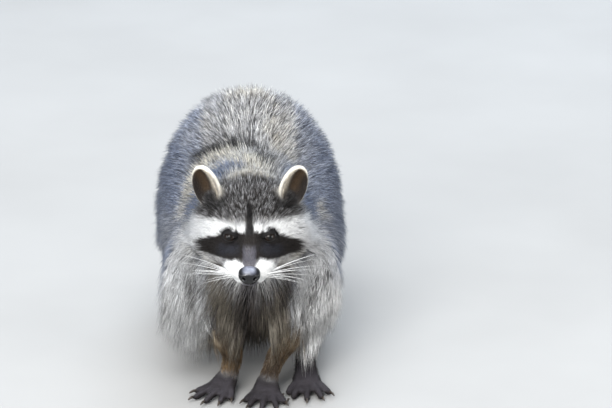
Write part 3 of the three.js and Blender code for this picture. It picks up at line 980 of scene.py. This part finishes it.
RINGS = 6.5  # pairs of a pale and a dark ring along the whole tail
TAIL_MIDDLES = [np.array(middle_of(f"tail_{part}")) for part in ("base", "middle", "tip")]
TAIL_START = np.array([TAIL_MIDDLES[0][0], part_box("tail_base")[0][1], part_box("tail_base")[1][2]])
TAIL_END_X = 2 * TAIL_MIDDLES[2][0] - TAIL_MIDDLES[1][0]
TAIL_END = np.array([TAIL_END_X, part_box("tail_tip")[1][1], TAIL_MIDDLES[2][2]])


def tail_share(points):
    """How far along the tail each point lies, from 0 at the rump to 1 at the tip, and how far off."""
    route = [TAIL_START, *TAIL_MIDDLES, TAIL_END]
    lengths = np.cumsum([0] + [np.linalg.norm(b - a) for a, b in zip(route, route[1:])])
    best = np.full(len(points), np.inf)
    share = np.zeros(len(points))
    for i, (a, b) in enumerate(zip(route, route[1:])):
        t = np.clip((points - a) @ (b - a) / ((b - a) @ (b - a)), 0, 1)
        gap = np.linalg.norm(points - a - t[:, None] * (b - a), axis=1)
        nearer = gap < best
        best[nearer] = gap[nearer]
        share[nearer] = (lengths[i] + t * (lengths[i + 1] - lengths[i]))[nearer] / lengths[-1]
    return share, best / MM


def tail_rings(points):
    """1 on the tail's dark rings and its tip. Hair far off the tail's middle line belongs to the rump."""
    share, off = tail_share(points)
    place = share * RINGS - 0.35
    phase = place - np.floor(place)
    return np.maximum(band(phase, 0.55, 0.98, 0.07), step(5.25, 5.4, place)) * step(48, 40, off)


# ---- tufts ----


class Roots:
    """Places on the skin where tufts start, with everything that is known there."""

    def __init__(self, count, density):
        """density is the wish for each point of the skin, in tufts for an equal area."""
        area = np.linalg.norm(skin.face_vectors(), axis=1) / 2
        wish = area * sum(skin.corners(density)) / 3
        total = np.cumsum(wish)
        draw = (np.arange(count) + rng.random(count)) * total[-1] / count
        self.face = np.minimum(np.searchsorted(total, draw), len(area) - 1)
        first, second = np.sort(rng.random((2, count)), axis=0)
        self.share = np.stack([first, second - first, 1 - second], 1)
        self.points = self.at(skin.points)
        self.normals = unit(self.at(skin_normals))
        self.flow = laid(self.at(flow), self.normals)
        self.depth = self.at(depth)
        self.zones = self.at(zones)
        self.head = to_head(self.points)
        self.chance = rng.random((count, 4))
        self.count = count

    def at(self, values):
        """The values of the skin's points, at the roots."""
        corner = [values[skin.triangles[self.face, i]] for i in range(3)]
        if values.ndim == 1:
            return sum(self.share[:, i] * corner[i] for i in range(3))
        return sum(self.share[:, i, None] * corner[i] for i in range(3))

    def of(self, *names):
        return share_of(*names, weights=self.zones)

    def length(self, least, more):
        """In metres, for limits in millimetres."""
        return (least + more * self.chance[:, 3]) * MM

    def fit(self, usual, least, most):
        """The depth of the coat as a share of its usual depth in millimetres, kept within limits."""
        return np.clip(self.depth / (usual * MM), least, most)

    def shades(self):
        return Shades(self.points, self.normals, self.zones, self.chance, self.at(lid_edge)).colours

    def dashes(self):
        """How strongly each tuft is broken into dashes, from 0 to 1."""
        crown = self.of("face") * on_crown(rise_on_face(self.head))
        strong = self.of("body", "thigh", "neck") * (0.35 + 0.65 * step(0, 0.5, self.normals[:, 2]))
        mild = self.of("sleeve", "tail", "foreleg", "hindleg")
        return np.clip(0.1 + 0.9 * strong + 0.6 * crown + 0.25 * mild, 0, 1)


outline_tree = outline.tree()
outline_face_normals = unit(outline.face_vectors())


def over_outline(points):
    """The nearest place of the outline to each point, and its normal."""
    places, normals = np.empty_like(points), np.empty_like(points)
    for i, point in enumerate(points.tolist()):
        place, _, face, _ = outline_tree.find_nearest(point)
        places[i] = place
        normals[i] = outline_face_normals[face]
    return places, normals


def turned(vectors, axes, angles):
    """Vectors turned about axes square to them."""
    c, s = np.cos(angles)[:, None], np.sin(angles)[:, None]
    return vectors * c + np.cross(axes, vectors) * s


TUFTS_TO_A_CLUMP = 14
MOST_REACH = 1.3  # of a tuft's length
ROOT_DEPTH = 0.6 * MM
LEAST_HEIGHT = 0.6 * MM
FORWARD = 0.04  # metres ahead of a tip, where the search for the forearm's front starts


def clumped(roots, tip, pull):
    """Tips drawn by pull towards the tip of the tuft that leads their clump."""
    guides = rng.choice(roots.count, roots.count // TUFTS_TO_A_CLUMP, replace=False)
    tree = KDTree(len(guides))
    for i, guide in enumerate(guides):
        tree.insert(roots.points[guide], i)
    tree.balance()
    own = guides[[tree.find(p)[1] for p in roots.points.tolist()]]
    shift = (tip[own] - roots.points[own]) * 0.5 + (roots.points[own] - roots.points)
    target = roots.points + shift + (tip - roots.points) * 0.5
    return tip * (1 - pull[:, None]) + target * pull[:, None]


def tuft_curves(roots, length, sink, unruly, clump):
    """Three points that bend each tuft: root, middle and tip.

    length is in metres. sink is how far below the outline the tip stays, as a share of the depth.
    unruly turns the lie at random, in radians, and clump draws tips towards a neighbour's.
    """
    drift = sway(roots.points, 0.045)
    loose = roots.of("sleeve")
    turn = (0.3 * drift[:, 0] + unruly * rng.normal(0, 1, roots.count)) * (1 + loose)
    lie = turned(roots.flow, roots.normals, turn)
    deep = roots.depth
    reach = np.sqrt(np.maximum(length**2 - deep**2, (0.5 * length) ** 2))
    tip = roots.points + lie * reach[:, None] + roots.normals * deep[:, None]
    place, normal = over_outline(tip)
    tip = place - normal * (sink * deep)[:, None]
    # In a hollow the outline is farther away than the hair is long.
    far = np.linalg.norm(tip - roots.points, axis=1)
    tip = roots.points + (tip - roots.points) * np.minimum(1, MOST_REACH * length / far)[:, None]
    tip = clumped(roots, tip, clump * (0.5 + 0.5 * roots.chance[:, 3]) * (1 + 0.9 * loose))
    middle = roots.points + roots.normals * (0.4 * deep)[:, None] + (tip - roots.points) * 0.4
    return roots.points - roots.normals * ROOT_DEPTH, middle, tip


def bring_forward(middle, tip, low):
    """Moves the low hair whose tips lie in or behind the forearms, so that it lies over them."""
    tree = skin.tree()
    clear = (2 + 5 * rng.random(len(tip))) * MM
    for i in np.flatnonzero(low):
        place, normal, _, _ = tree.find_nearest(tip[i])
        if (Vector(tip[i]) - place).dot(normal) > clear[i]:
            continue
        start = Vector(tip[i]) + Vector((0, -FORWARD, 0))
        hit = tree.ray_cast(start, Vector((0, 1, 0)), FORWARD)[0]
        if hit is None:
            continue
        push = min(hit.y - clear[i] - tip[i, 1], 0)
        tip[i, 1] += push
        middle[i, 1] += 0.6 * push


def hung(roots, curve, most):
    """Lets long hair low on the chest and forelegs hang past the outline, and over the forearms."""
    root, middle, tip = curve
    # Hair that would stand up out of the bend of the elbow stays short.
    run = tip - root
    upward = step(-0.3, 0.0, unit(run)[:, 2]) * step(0.125, 0.105, root[:, 2])
    upward *= step(-0.1, -0.12, root[:, 1])
    keep = (1 - 0.93 * upward)[:, None]
    middle, tip = root + (middle - root) * keep, root + run * keep
    front = roots.of("sleeve") + roots.of("body") * step(-0.16, -0.2, roots.points[:, 1])
    front += roots.of("foreleg") * step(0.05, 0.075, roots.points[:, 2])
    fall = np.minimum(front, 1) * step(0.15, 0.085, tip[:, 2]) * most * rng.random(roots.count) ** 1.1
    across = roots.points[:, 0] / MM
    fall *= (1 - 0.6 * step(52, 80, across)) * step(-0.09, -0.12, roots.points[:, 1])
    drop = np.stack([0.3 * fall * np.clip(across / 80, -1, 0.2), 0.1 * fall, -fall], 1)
    middle, tip = middle + 0.3 * drop, tip + drop
    low = (front > 0.3) & (tip[:, 2] < 0.1) & (roots.points[:, 1] < -0.13)
    bring_forward(middle, tip, low)
    return root, middle, tip


def on_floor(curve):
    """Bends hair that would reach into the floor so that it lies on it."""
    for points in curve[1:]:
        points[:, 2] = np.maximum(points[:, 2], LEAST_HEIGHT)
    return curve


def spikes(curve, width, facing, stages):
    """Closed three-sided tapered spikes along bent curves, as points, triangles and the share along."""
    start, middle, tip = curve
    count = len(start)
    shares = np.arange(stages) / stages
    rings = []
    for share in shares:
        centre = start * (1 - share) ** 2 + middle * 2 * share * (1 - share) + tip * share**2
        ahead = unit((middle - start) * (1 - share) + (tip - middle) * share)
        across = unit(np.cross(ahead, facing))
        lift = np.cross(across, ahead)
        fat = width * (0.75 + 0.25 * math.sin(math.pi * min(share * 1.6, 1))) * (1 - share**1.7)
        for side, rise in ((1.0, -0.25), (-1.0, -0.25), (0.0, 0.5)):
            rings.append(centre + across * (side * fat / 2)[:, None] + lift * (rise * fat)[:, None])
    rings.append(tip)
    points = np.stack(rings, 1)
    size = 3 * stages + 1
    pattern = [(0, 2, 1)]
    for ring in range(stages - 1):
        for corner in range(3):
            a, b = 3 * ring + corner, 3 * ring + (corner + 1) % 3
            pattern += [(a, b, b + 3), (a, b + 3, a + 3)]
    last = 3 * (stages - 1)
    pattern += [(last + corner, last + (corner + 1) % 3, size - 1) for corner in range(3)]
    triangles = np.array(pattern)[None] + (np.arange(count) * size)[:, None, None]
    along_share = np.append(np.repeat(shares, 3), 1.0)
    return points.reshape(-1, 3), triangles.reshape(-1, 3), along_share


def blend_colours(under, middle, tip, shares, reach=0.55):
    """One colour for each ring of each tuft: under to middle by reach, then on to the tip."""
    rings = []
    for share in shares:
        if share < reach:
            rings.append(mix(under, middle, share / reach))
        else:
            rings.append(mix(middle, tip, ((share - reach) / (1 - reach)) ** 0.8))
    return np.stack(rings, 1).reshape(-1, 3)


def unwrap_of(faces):
    """An unwrap of part of the skin: for each of the faces, the places of its three corners."""
    used, index = np.unique(skin.triangles[faces], return_inverse=True)
    mesh = mesh_from("part", skin.points[used], index.reshape(-1, 3), 3)
    holder = in_scene("part", mesh)
    bpy.context.view_layer.objects.active = holder
    holder.select_set(True)
    bpy.ops.object.mode_set(mode="EDIT")
    bpy.ops.mesh.select_all(action="SELECT")
    bpy.ops.uv.smart_project(angle_limit=math.radians(66), island_margin=0.004)
    bpy.ops.object.mode_set(mode="OBJECT")
    places = np.empty(len(mesh.loops) * 2, np.float32)
    mesh.uv_layers.active.data.foreach_get("uv", places)
    remove(holder)
    return places.reshape(-1, 3, 2)


def add_bake_map(mesh, places):
    layer = mesh.uv_layers.new(name="OFBake")
    layer.data.foreach_set("uv", places.astype(np.float32).ravel())


PATCH = 0.003  # the size of a tuft on the unwrap
MOST_TRIANGLES = 196000  # in one piece of coat
coat = coat_material()


def coat_piece(name, slot, roots, chosen, curve, width, stages, shades):
    """One joined mesh of tufts, unwrapped so that each is a small patch where its root is."""
    curve = [part[chosen] for part in curve]
    points, triangles, shares = spikes(curve, width[chosen], roots.normals[chosen], stages)
    mesh = mesh_from(name, points, triangles, 3)
    paint(mesh, "coat", blend_colours(*[shade[chosen] for shade in shades], shares))
    # The dashes are noise over a place that moves less than half as fast as the tuft along its length.
    places = 0.4 * points + 0.6 * np.repeat(roots.points[chosen], len(shares), 0)
    strength = np.repeat(roots.dashes()[chosen], len(shares))
    paint(mesh, "dash", np.column_stack([places, strength]))
    faces, index = np.unique(roots.face[chosen], return_inverse=True)
    corners = unwrap_of(faces)[index]
    place = (corners * roots.share[chosen][:, :, None]).sum(1)
    angle = np.arange(len(shares)) * 2 * math.pi / 3
    ring = np.stack([(shares - 0.5) * 0.9, np.cos(angle) * 0.45 * (1 - shares)], 1) * PATCH
    spots = np.clip(place[:, None] + ring[None], 0.0005, 0.9995).reshape(-1, 2)
    add_bake_map(mesh, spots[triangles.ravel()])
    add_piece(name, mesh, coat, slot)


# ---- the coat ----

# For each coat its slot, the rings in a tuft, how unruly and how clumped the tufts are, and their least
# width and what chance adds to it, in millimetres.
COATS = {
    "body_guard": ("body_coat", 2, 0.17, 0.45, 0.55, 0.45),
    "body_under": ("body_coat", 2, 0.17, 0.45, 0.55, 0.45),
    "tail": ("tail_coat", 3, 0.12, 0.4, 0.8, 0.5),
    "face": ("face_coat", 2, 0.12, 0.35, 0.34, 0.3),
    "ears": ("face_coat", 2, 0.2, 0.2, 0.3, 0.25),
    "legs": ("leg_coat", 2, 0.14, 0.35, 0.5, 0.35),
    "paws": ("paw_coat", 2, 0.15, 0.2, 0.3, 0.2),
}


def grow(kind, roots, length, sink, restless=0.0, swell=1.0, fall=0.0):
    """Makes as many pieces of one coat as the limit on a piece asks for, split along the body.

    restless adds to how unruly the tufts are and swell multiplies their width. fall is how far hair low
    on the front may hang, in metres.
    """
    slot, stages, unruly, clump, least, more = COATS[kind]
    curve = tuft_curves(roots, length, sink, unruly + restless, clump)
    if fall:
        curve = hung(roots, curve, fall)
    curve = on_floor(curve)
    width = (least + more * rng.random(roots.count)) * MM * swell
    shades = roots.shades()
    parts = math.ceil(roots.count * (6 * stages - 2) / MOST_TRIANGLES)
    order = np.argsort(roots.points[:, 1])
    for i, chosen in enumerate(np.array_split(order, parts)):
        name = f"coat_{kind}_{i + 1}" if parts > 1 else f"coat_{kind}"
        coat_piece(name, slot, roots, np.sort(chosen), curve, width, stages, shades)


def grow_body():
    """Long guard hair over shorter underfur, on the neck, trunk, thighs and upper forelegs."""
    wish = share_of("neck", "body", "sleeve", "thigh")
    for kind, count, long, broad in (("body_guard", 60000, 1.0, 1.0), ("body_under", 22000, 0.72, 1.25)):
        roots = Roots(count, wish)
        back = roots.of("body", "thigh") * step(0.1, 0.6, roots.normals[:, 2])
        length = roots.length(30, 12) * roots.fit(18, 0.3, 1.1) * long * (1 - 0.3 * back)
        sink = (1 - long) * 1.1 + rng.random(count) ** 1.5 * 0.45
        # Some stray hairs stand out of the coat.
        stray = rng.random(count) < 0.2
        sink -= np.where(stray, (0.05 + 0.18 * rng.random(count)) * long, 0.0)
        grow(kind, roots, length, sink, 0.08 * back, broad, 34 * MM * long)


def grow_tail():
    roots = Roots(9000, share_of("tail"))
    length = roots.length(30, 12) * roots.fit(15, 0.4, 1.1)
    grow("tail", roots, length, rng.random(roots.count) ** 1.5 * 0.5)


def grow_face():
    """Short hair that lengthens from the muzzle to the crown and the fringes of the cheeks."""
    clear = step(0.6, 1.4, lid_edge) * step(-0.6, 0.4, past_nose(skin.points))
    near = 1 + 1.6 * step(10, -20, head_points[:, 1])
    roots = Roots(33000, share_of("face") * clear * near)
    length = (1.45 * roots.depth / MM + 1.8 + 0.9 * roots.chance[:, 3]) * MM
    length *= 1 - 0.5 * step(6, 1, roots.at(lid_edge))
    fringe = step(50, 62, np.abs(roots.head[:, 0])) * step(34, 20, rise_on_face(roots.head))
    length *= 1 + 0.7 * fringe * roots.chance[:, 0]
    swell = np.clip(length / (7 * MM), 0.75, 1.6)
    grow("face", roots, length, rng.random(roots.count) ** 1.5 * 0.4, 0.12 * fringe, swell)


def grow_ears():
    roots = Roots(4200, share_of("ear"))
    grow("ears", roots, roots.length(3.2, 2.4), rng.random(roots.count) * 0.3)


def grow_legs():
    """Short hair on the lower legs, which is longer below the elbows and hangs there."""
    roots = Roots(9000, share_of("foreleg", "hindleg"))
    elbow = roots.of("foreleg") * band(roots.points[:, 2], 0.055, 0.075, 0.008)
    length = roots.length(7, 5) * roots.fit(4, 0.6, 2.0) * (1 + 1.3 * elbow)
    grow("legs", roots, length, rng.random(roots.count) * 0.4, fall=16 * MM)


def grow_paws():
    """Very short hair on the backs of the paws. The fingers' undersides stay bare."""
    upper_side = step(0.0, 0.5, skin_normals[:, 2])
    roots = Roots(7000, share_of("paw") * upper_side)
    grow("paws", roots, roots.length(2.2, 1.6), rng.random(roots.count) * 0.3)


# ---- nose ----

NOSE_MIDDLE = to_head(np.array([NOSE]))[0]
NOSE_REACH = np.array([12.9, 10.6, 10.8])  # millimetres each side, ahead and up


def past_nose(points):
    """How far points lie outside the nose, in millimetres."""
    away = (to_head(points) - NOSE_MIDDLE) / NOSE_REACH
    return (np.linalg.norm(away, axis=1) - 1) * NOSE_REACH.min()


def tube_triangles(rings, sides):
    """The triangles of a closed tube whose two ends are the last two points."""
    first, last, end = rings * sides, rings * sides + 1, (rings - 1) * sides
    triangles = []
    for i in range(sides):
        j = (i + 1) % sides
        triangles.append((first, i, j))
        for start in range(0, end, sides):
            a, b = start + i, start + j
            triangles += [(a, a + sides, b + sides), (a, b + sides, b)]
        triangles.append((end + i, last, end + j))
    return np.array(triangles)


def globe(rings, segments):
    """Unit directions of a closed globe about -Y, and its triangles."""
    polar = np.linspace(0, math.pi, rings + 1)[1:-1]
    turn = np.arange(segments) * 2 * math.pi / segments
    polar, turn = (grid.ravel() for grid in np.meshgrid(polar, turn, indexing="ij"))
    points = np.stack([np.sin(polar) * np.cos(turn), -np.cos(polar), np.sin(polar) * np.sin(turn)], 1)
    return np.concatenate([points, [[0, -1, 0], [0, 1, 0]]]), tube_triangles(rings - 1, segments)


def dent(directions, place, spread):
    """1 at a place on a globe, fading out over spread on either side of the middle plane."""
    folded = np.column_stack([np.abs(directions[:, 0]), directions[:, 1:]])
    gap = np.linalg.norm((folded - unit(np.array(place))) / spread, axis=1)
    return np.exp(-(gap**2))


def add_nose():
    """A broad pad with a groove down its middle and a comma-shaped nostril on each side."""
    directions, triangles = globe(72, 96)
    across, ahead, up = directions.T
    squared = np.sign(directions) * np.abs(directions) ** 0.86
    shape = squared * NOSE_REACH * 1.02
    shape[:, 0] *= 1 - 0.22 * step(0.1, -0.9, up)
    shape[:, 2] -= 1.6 * step(0.3, 1.0, up) * step(-1.0, -0.2, ahead)
    inward = 5.4 * dent(directions, (0.52, -0.83, -0.06), (0.18, 0.3, 0.14))
    inward += 2.2 * dent(directions, (0.86, -0.5, 0.06), (0.3, 0.34, 0.1))
    inward += 0.9 * np.exp(-((across / 0.05) ** 2)) * step(0.55, -0.1, up)
    inward -= 0.8 * dent(directions, (0.5, -0.85, 0.34), (0.3, 0.4, 0.16))
    shape -= directions * inward[:, None]
    mesh = mesh_from("nose_pad", from_head(shape + NOSE_MIDDLE), triangles, 3)
    pit = step(1.0, 3.0, inward)
    paint(mesh, "gloss", np.stack([0.5 - 0.48 * pit] * 3, 1))
    # Painted highlight: the top of the nose is pale and bluish, as the sky would shine on it.
    top = step(0.3, 0.85, up) * step(0.75, 0.2, np.abs(across)) * (1 - pit)
    paint(mesh, "leather_and_highlight", mix((0.004, 0.004, 0.005), (0.19, 0.2, 0.25), top))
    shader = Shader("nose_leather")
    shader.link(shader.painted("gloss", "Fac"), "Specular IOR Level")
    grain = shader.mottled(300.0, (0.3, (0.6, 0.6, 0.6)), (0.7, (1.0, 1.0, 1.0)))
    pebbles = shader.pattern("TexVoronoi", "Distance", Scale=1500.0)
    colour = shader.multiplied(shader.painted("leather_and_highlight"), grain)
    material = shader.done(colour, pebbles, 0.2, 0.0003, (500.0, 0.16, 0.26))
    add_piece("nose_pad", mesh, material, "nose_skin", ["nose"])


# ---- eyes ----

PUPIL = 0.34  # radians from the gaze to its edge
IRIS = 0.74


def eye_material():
    gloss = {"roughness": 0.1, "specular_ior_level": 0.2, "coat_weight": 0.07, "coat_roughness": 0.03}
    shader = Shader("eye_wet", **gloss)
    colour = shader.multiplied(shader.painted("iris"), shader.between(shader.noise(1800.0), 0.6, 1.4))
    return shader.done(colour, shader.noise(900.0), 0.04, 0.0002)


def add_eyes():
    material = eye_material()
    directions, triangles = globe(64, 72)
    polar = np.arccos(-directions[:, 1])
    radius = EYE_RADIUS * (0.985 + 0.035 * np.exp(-((polar / 0.38) ** 2)))
    colours = mix((0.003, 0.003, 0.003), (0.010, 0.006, 0.004), band(polar, PUPIL, IRIS, 0.04))
    colours = mix(colours, (0.012, 0.010, 0.010), step(IRIS + 0.08, IRIS + 0.25, polar))
    for name, side in SIDES.items():
        _, over, gaze = eye_frame(side)
        axes = np.stack([-np.cross(over, gaze), -gaze, over])
        points = np.array(EYES[name]) - gaze * EYE_INSET + (directions * radius[:, None] * MM) @ axes
        mesh = mesh_from(f"eyeball_{name}", points, triangles, 3)
        paint(mesh, "iris", colours)
        add_piece(f"eyeball_{name}", mesh, material, "eye", [f"eye_{name}"])


# ---- claws ----

CLAW_SWELL = 1.12
CLAW_GAP = 1.6 * MM  # from the middle of a claw to the skin
CLAW_HEIGHT = 0.0004  # at least, in metres over the floor


def smooth_claw(node, skin_tree):
    """A smooth copy of one of the frame's claws, drawn back to the skin's shorter fingertip."""
    claw = bmesh.new()
    claw.from_mesh(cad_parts[node].data)
    bmesh.ops.remove_doubles(claw, verts=claw.verts[:], dist=0.02 * MM)
    middle = middle_of(node)
    gap = skin_tree.find_nearest(middle)[0] - middle
    gap.z = 0
    back = gap.normalized() * max(gap.length - CLAW_GAP, 0)
    for vertex in claw.verts:
        vertex.co = middle + back + (vertex.co - middle) * CLAW_SWELL
        vertex.co.z = max(vertex.co.z, CLAW_HEIGHT)
    mesh = bpy.data.meshes.new(f"nail_{node}")
    claw.to_mesh(mesh)
    claw.free()
    holder = in_scene("nail", mesh)
    holder.modifiers.new("round", "SUBSURF").levels = 2
    smooth = holder.evaluated_get(bpy.context.evaluated_depsgraph_get())
    done = bpy.data.meshes.new_from_object(smooth)
    remove(holder)
    done.polygons.foreach_set("use_smooth", np.ones(len(done.polygons), bool))
    return done


def add_claws():
    """A dark claw over each of the frame's."""
    shader = Shader("claw_horn", specular_ior_level=0.5, coat_weight=0.2, coat_roughness=0.3)
    colour = shader.mottled(260.0, (0.35, (0.018, 0.013, 0.010)), (0.75, (0.065, 0.048, 0.036)))
    material = shader.done(colour, shader.noise(1600.0), 0.25, 0.0002, (700.0, 0.3, 0.5))
    skin_tree = skin.tree()
    for leg in LEGS:
        for i in range(1, 6):
            node = f"{leg}_claw_{i}"
            add_piece(f"nail_{leg}_{i}", smooth_claw(node, skin_tree), material, "claw", [node])


# ---- whiskers ----

WHISKER_SIDES = 5
WHISKER_RINGS = 12


def whisker_tube(route, radius):
    """A closed tapered tube along a route of points."""
    ahead = unit(np.gradient(route, axis=0))
    across = unit(np.cross(ahead, [0, 0, 1.0]))
    lift = np.cross(across, ahead)
    size = radius * (1 - 0.88 * np.linspace(0, 1, len(route)))
    angles = (np.arange(WHISKER_SIDES) * 2 * math.pi / WHISKER_SIDES)[None, :, None]
    spokes = np.cos(angles) * across[:, None] + np.sin(angles) * lift[:, None]
    rings = route[:, None] + size[:, None, None] * spokes
    points = np.concatenate([rings.reshape(-1, 3), route[:1], route[-1:]])
    return points, tube_triangles(len(route), WHISKER_SIDES)


def whisker_hairs():
    """Root, direction, length and radius of each hair of the left side, in millimetres of the head."""
    for row, number in enumerate((4, 4, 3)):
        for i in range(number):
            root = np.array([17 + 1.8 * i + row, -43 + 4.4 * i, -28 - 4.2 * row])
            swing = 0.55 + 0.17 * i + 0.08 * rng.normal()
            fall = 0.08 - 0.24 * row + 0.1 * rng.normal()
            yield root, [1.0, swing * 0.75, fall], 38 + 34 * rng.random() + 4 * i, 0.34
    for i in range(3):
        root = np.array([18 + 4 * i, -10 + 2 * i, 17 + i])
        yield root, [0.5 + 0.2 * i, 0.35, 0.75], 22 + 6 * rng.random(), 0.12


def add_whiskers():
    """Long white whiskers in three rows on each pad, and a few over the eyes."""
    points, triangles = [], []
    skin_tree = skin.tree()
    t = np.linspace(0, 1, WHISKER_RINGS)[:, None]
    for side in (1, -1):
        for root, ahead, long, thick in whisker_hairs():
            ahead = unit(np.array(ahead) * [side, 1, 1])
            place = skin_tree.find_nearest(Vector(from_head(root * [side, 1, 1])))[0]
            base = to_head(np.array([place]))[0]
            droop = np.array([0, 6.0, -9.0]) * (long / 55)
            route = base + ahead * long * (t - 0.02) + droop * t**2.2
            tube, faces = whisker_tube(from_head(route), thick * MM)
            triangles.append(faces + len(tube) * len(points))
            points.append(tube)
    mesh = mesh_from("whiskers", np.concatenate(points), np.concatenate(triangles), 3)
    shader = Shader("whisker_hair", specular_ior_level=0.5)
    colour = shader.mottled(200.0, (0.3, (0.86, 0.86, 0.85)), (0.7, (0.95, 0.95, 0.94)))
    material = shader.done(colour, shader.noise(3000.0), 0.2, 0.0001, (400.0, 0.3, 0.5))
    add_piece("whiskers", mesh, material, "face_coat")


# ---- making it all ----


def add_skin():
    even = np.full((len(skin.points), 4), 0.5)
    under, middle, _ = Shades(skin.points, skin_normals, zones, even, lid_edge).colours
    mesh = mesh_from("skin", skin.points, skin.triangles, 3)
    paint(mesh, "coat", mix(under, middle, 0.5))
    add_bake_map(mesh, unwrap_of(np.arange(len(skin.triangles))))
    add_piece("skin", mesh, skin_material(), "body_coat", FLESH)


add_skin()
for grower in (grow_body, grow_tail, grow_face, grow_ears, grow_legs, grow_paws):
    grower()
add_nose()
add_eyes()
add_claws()
add_whiskers()
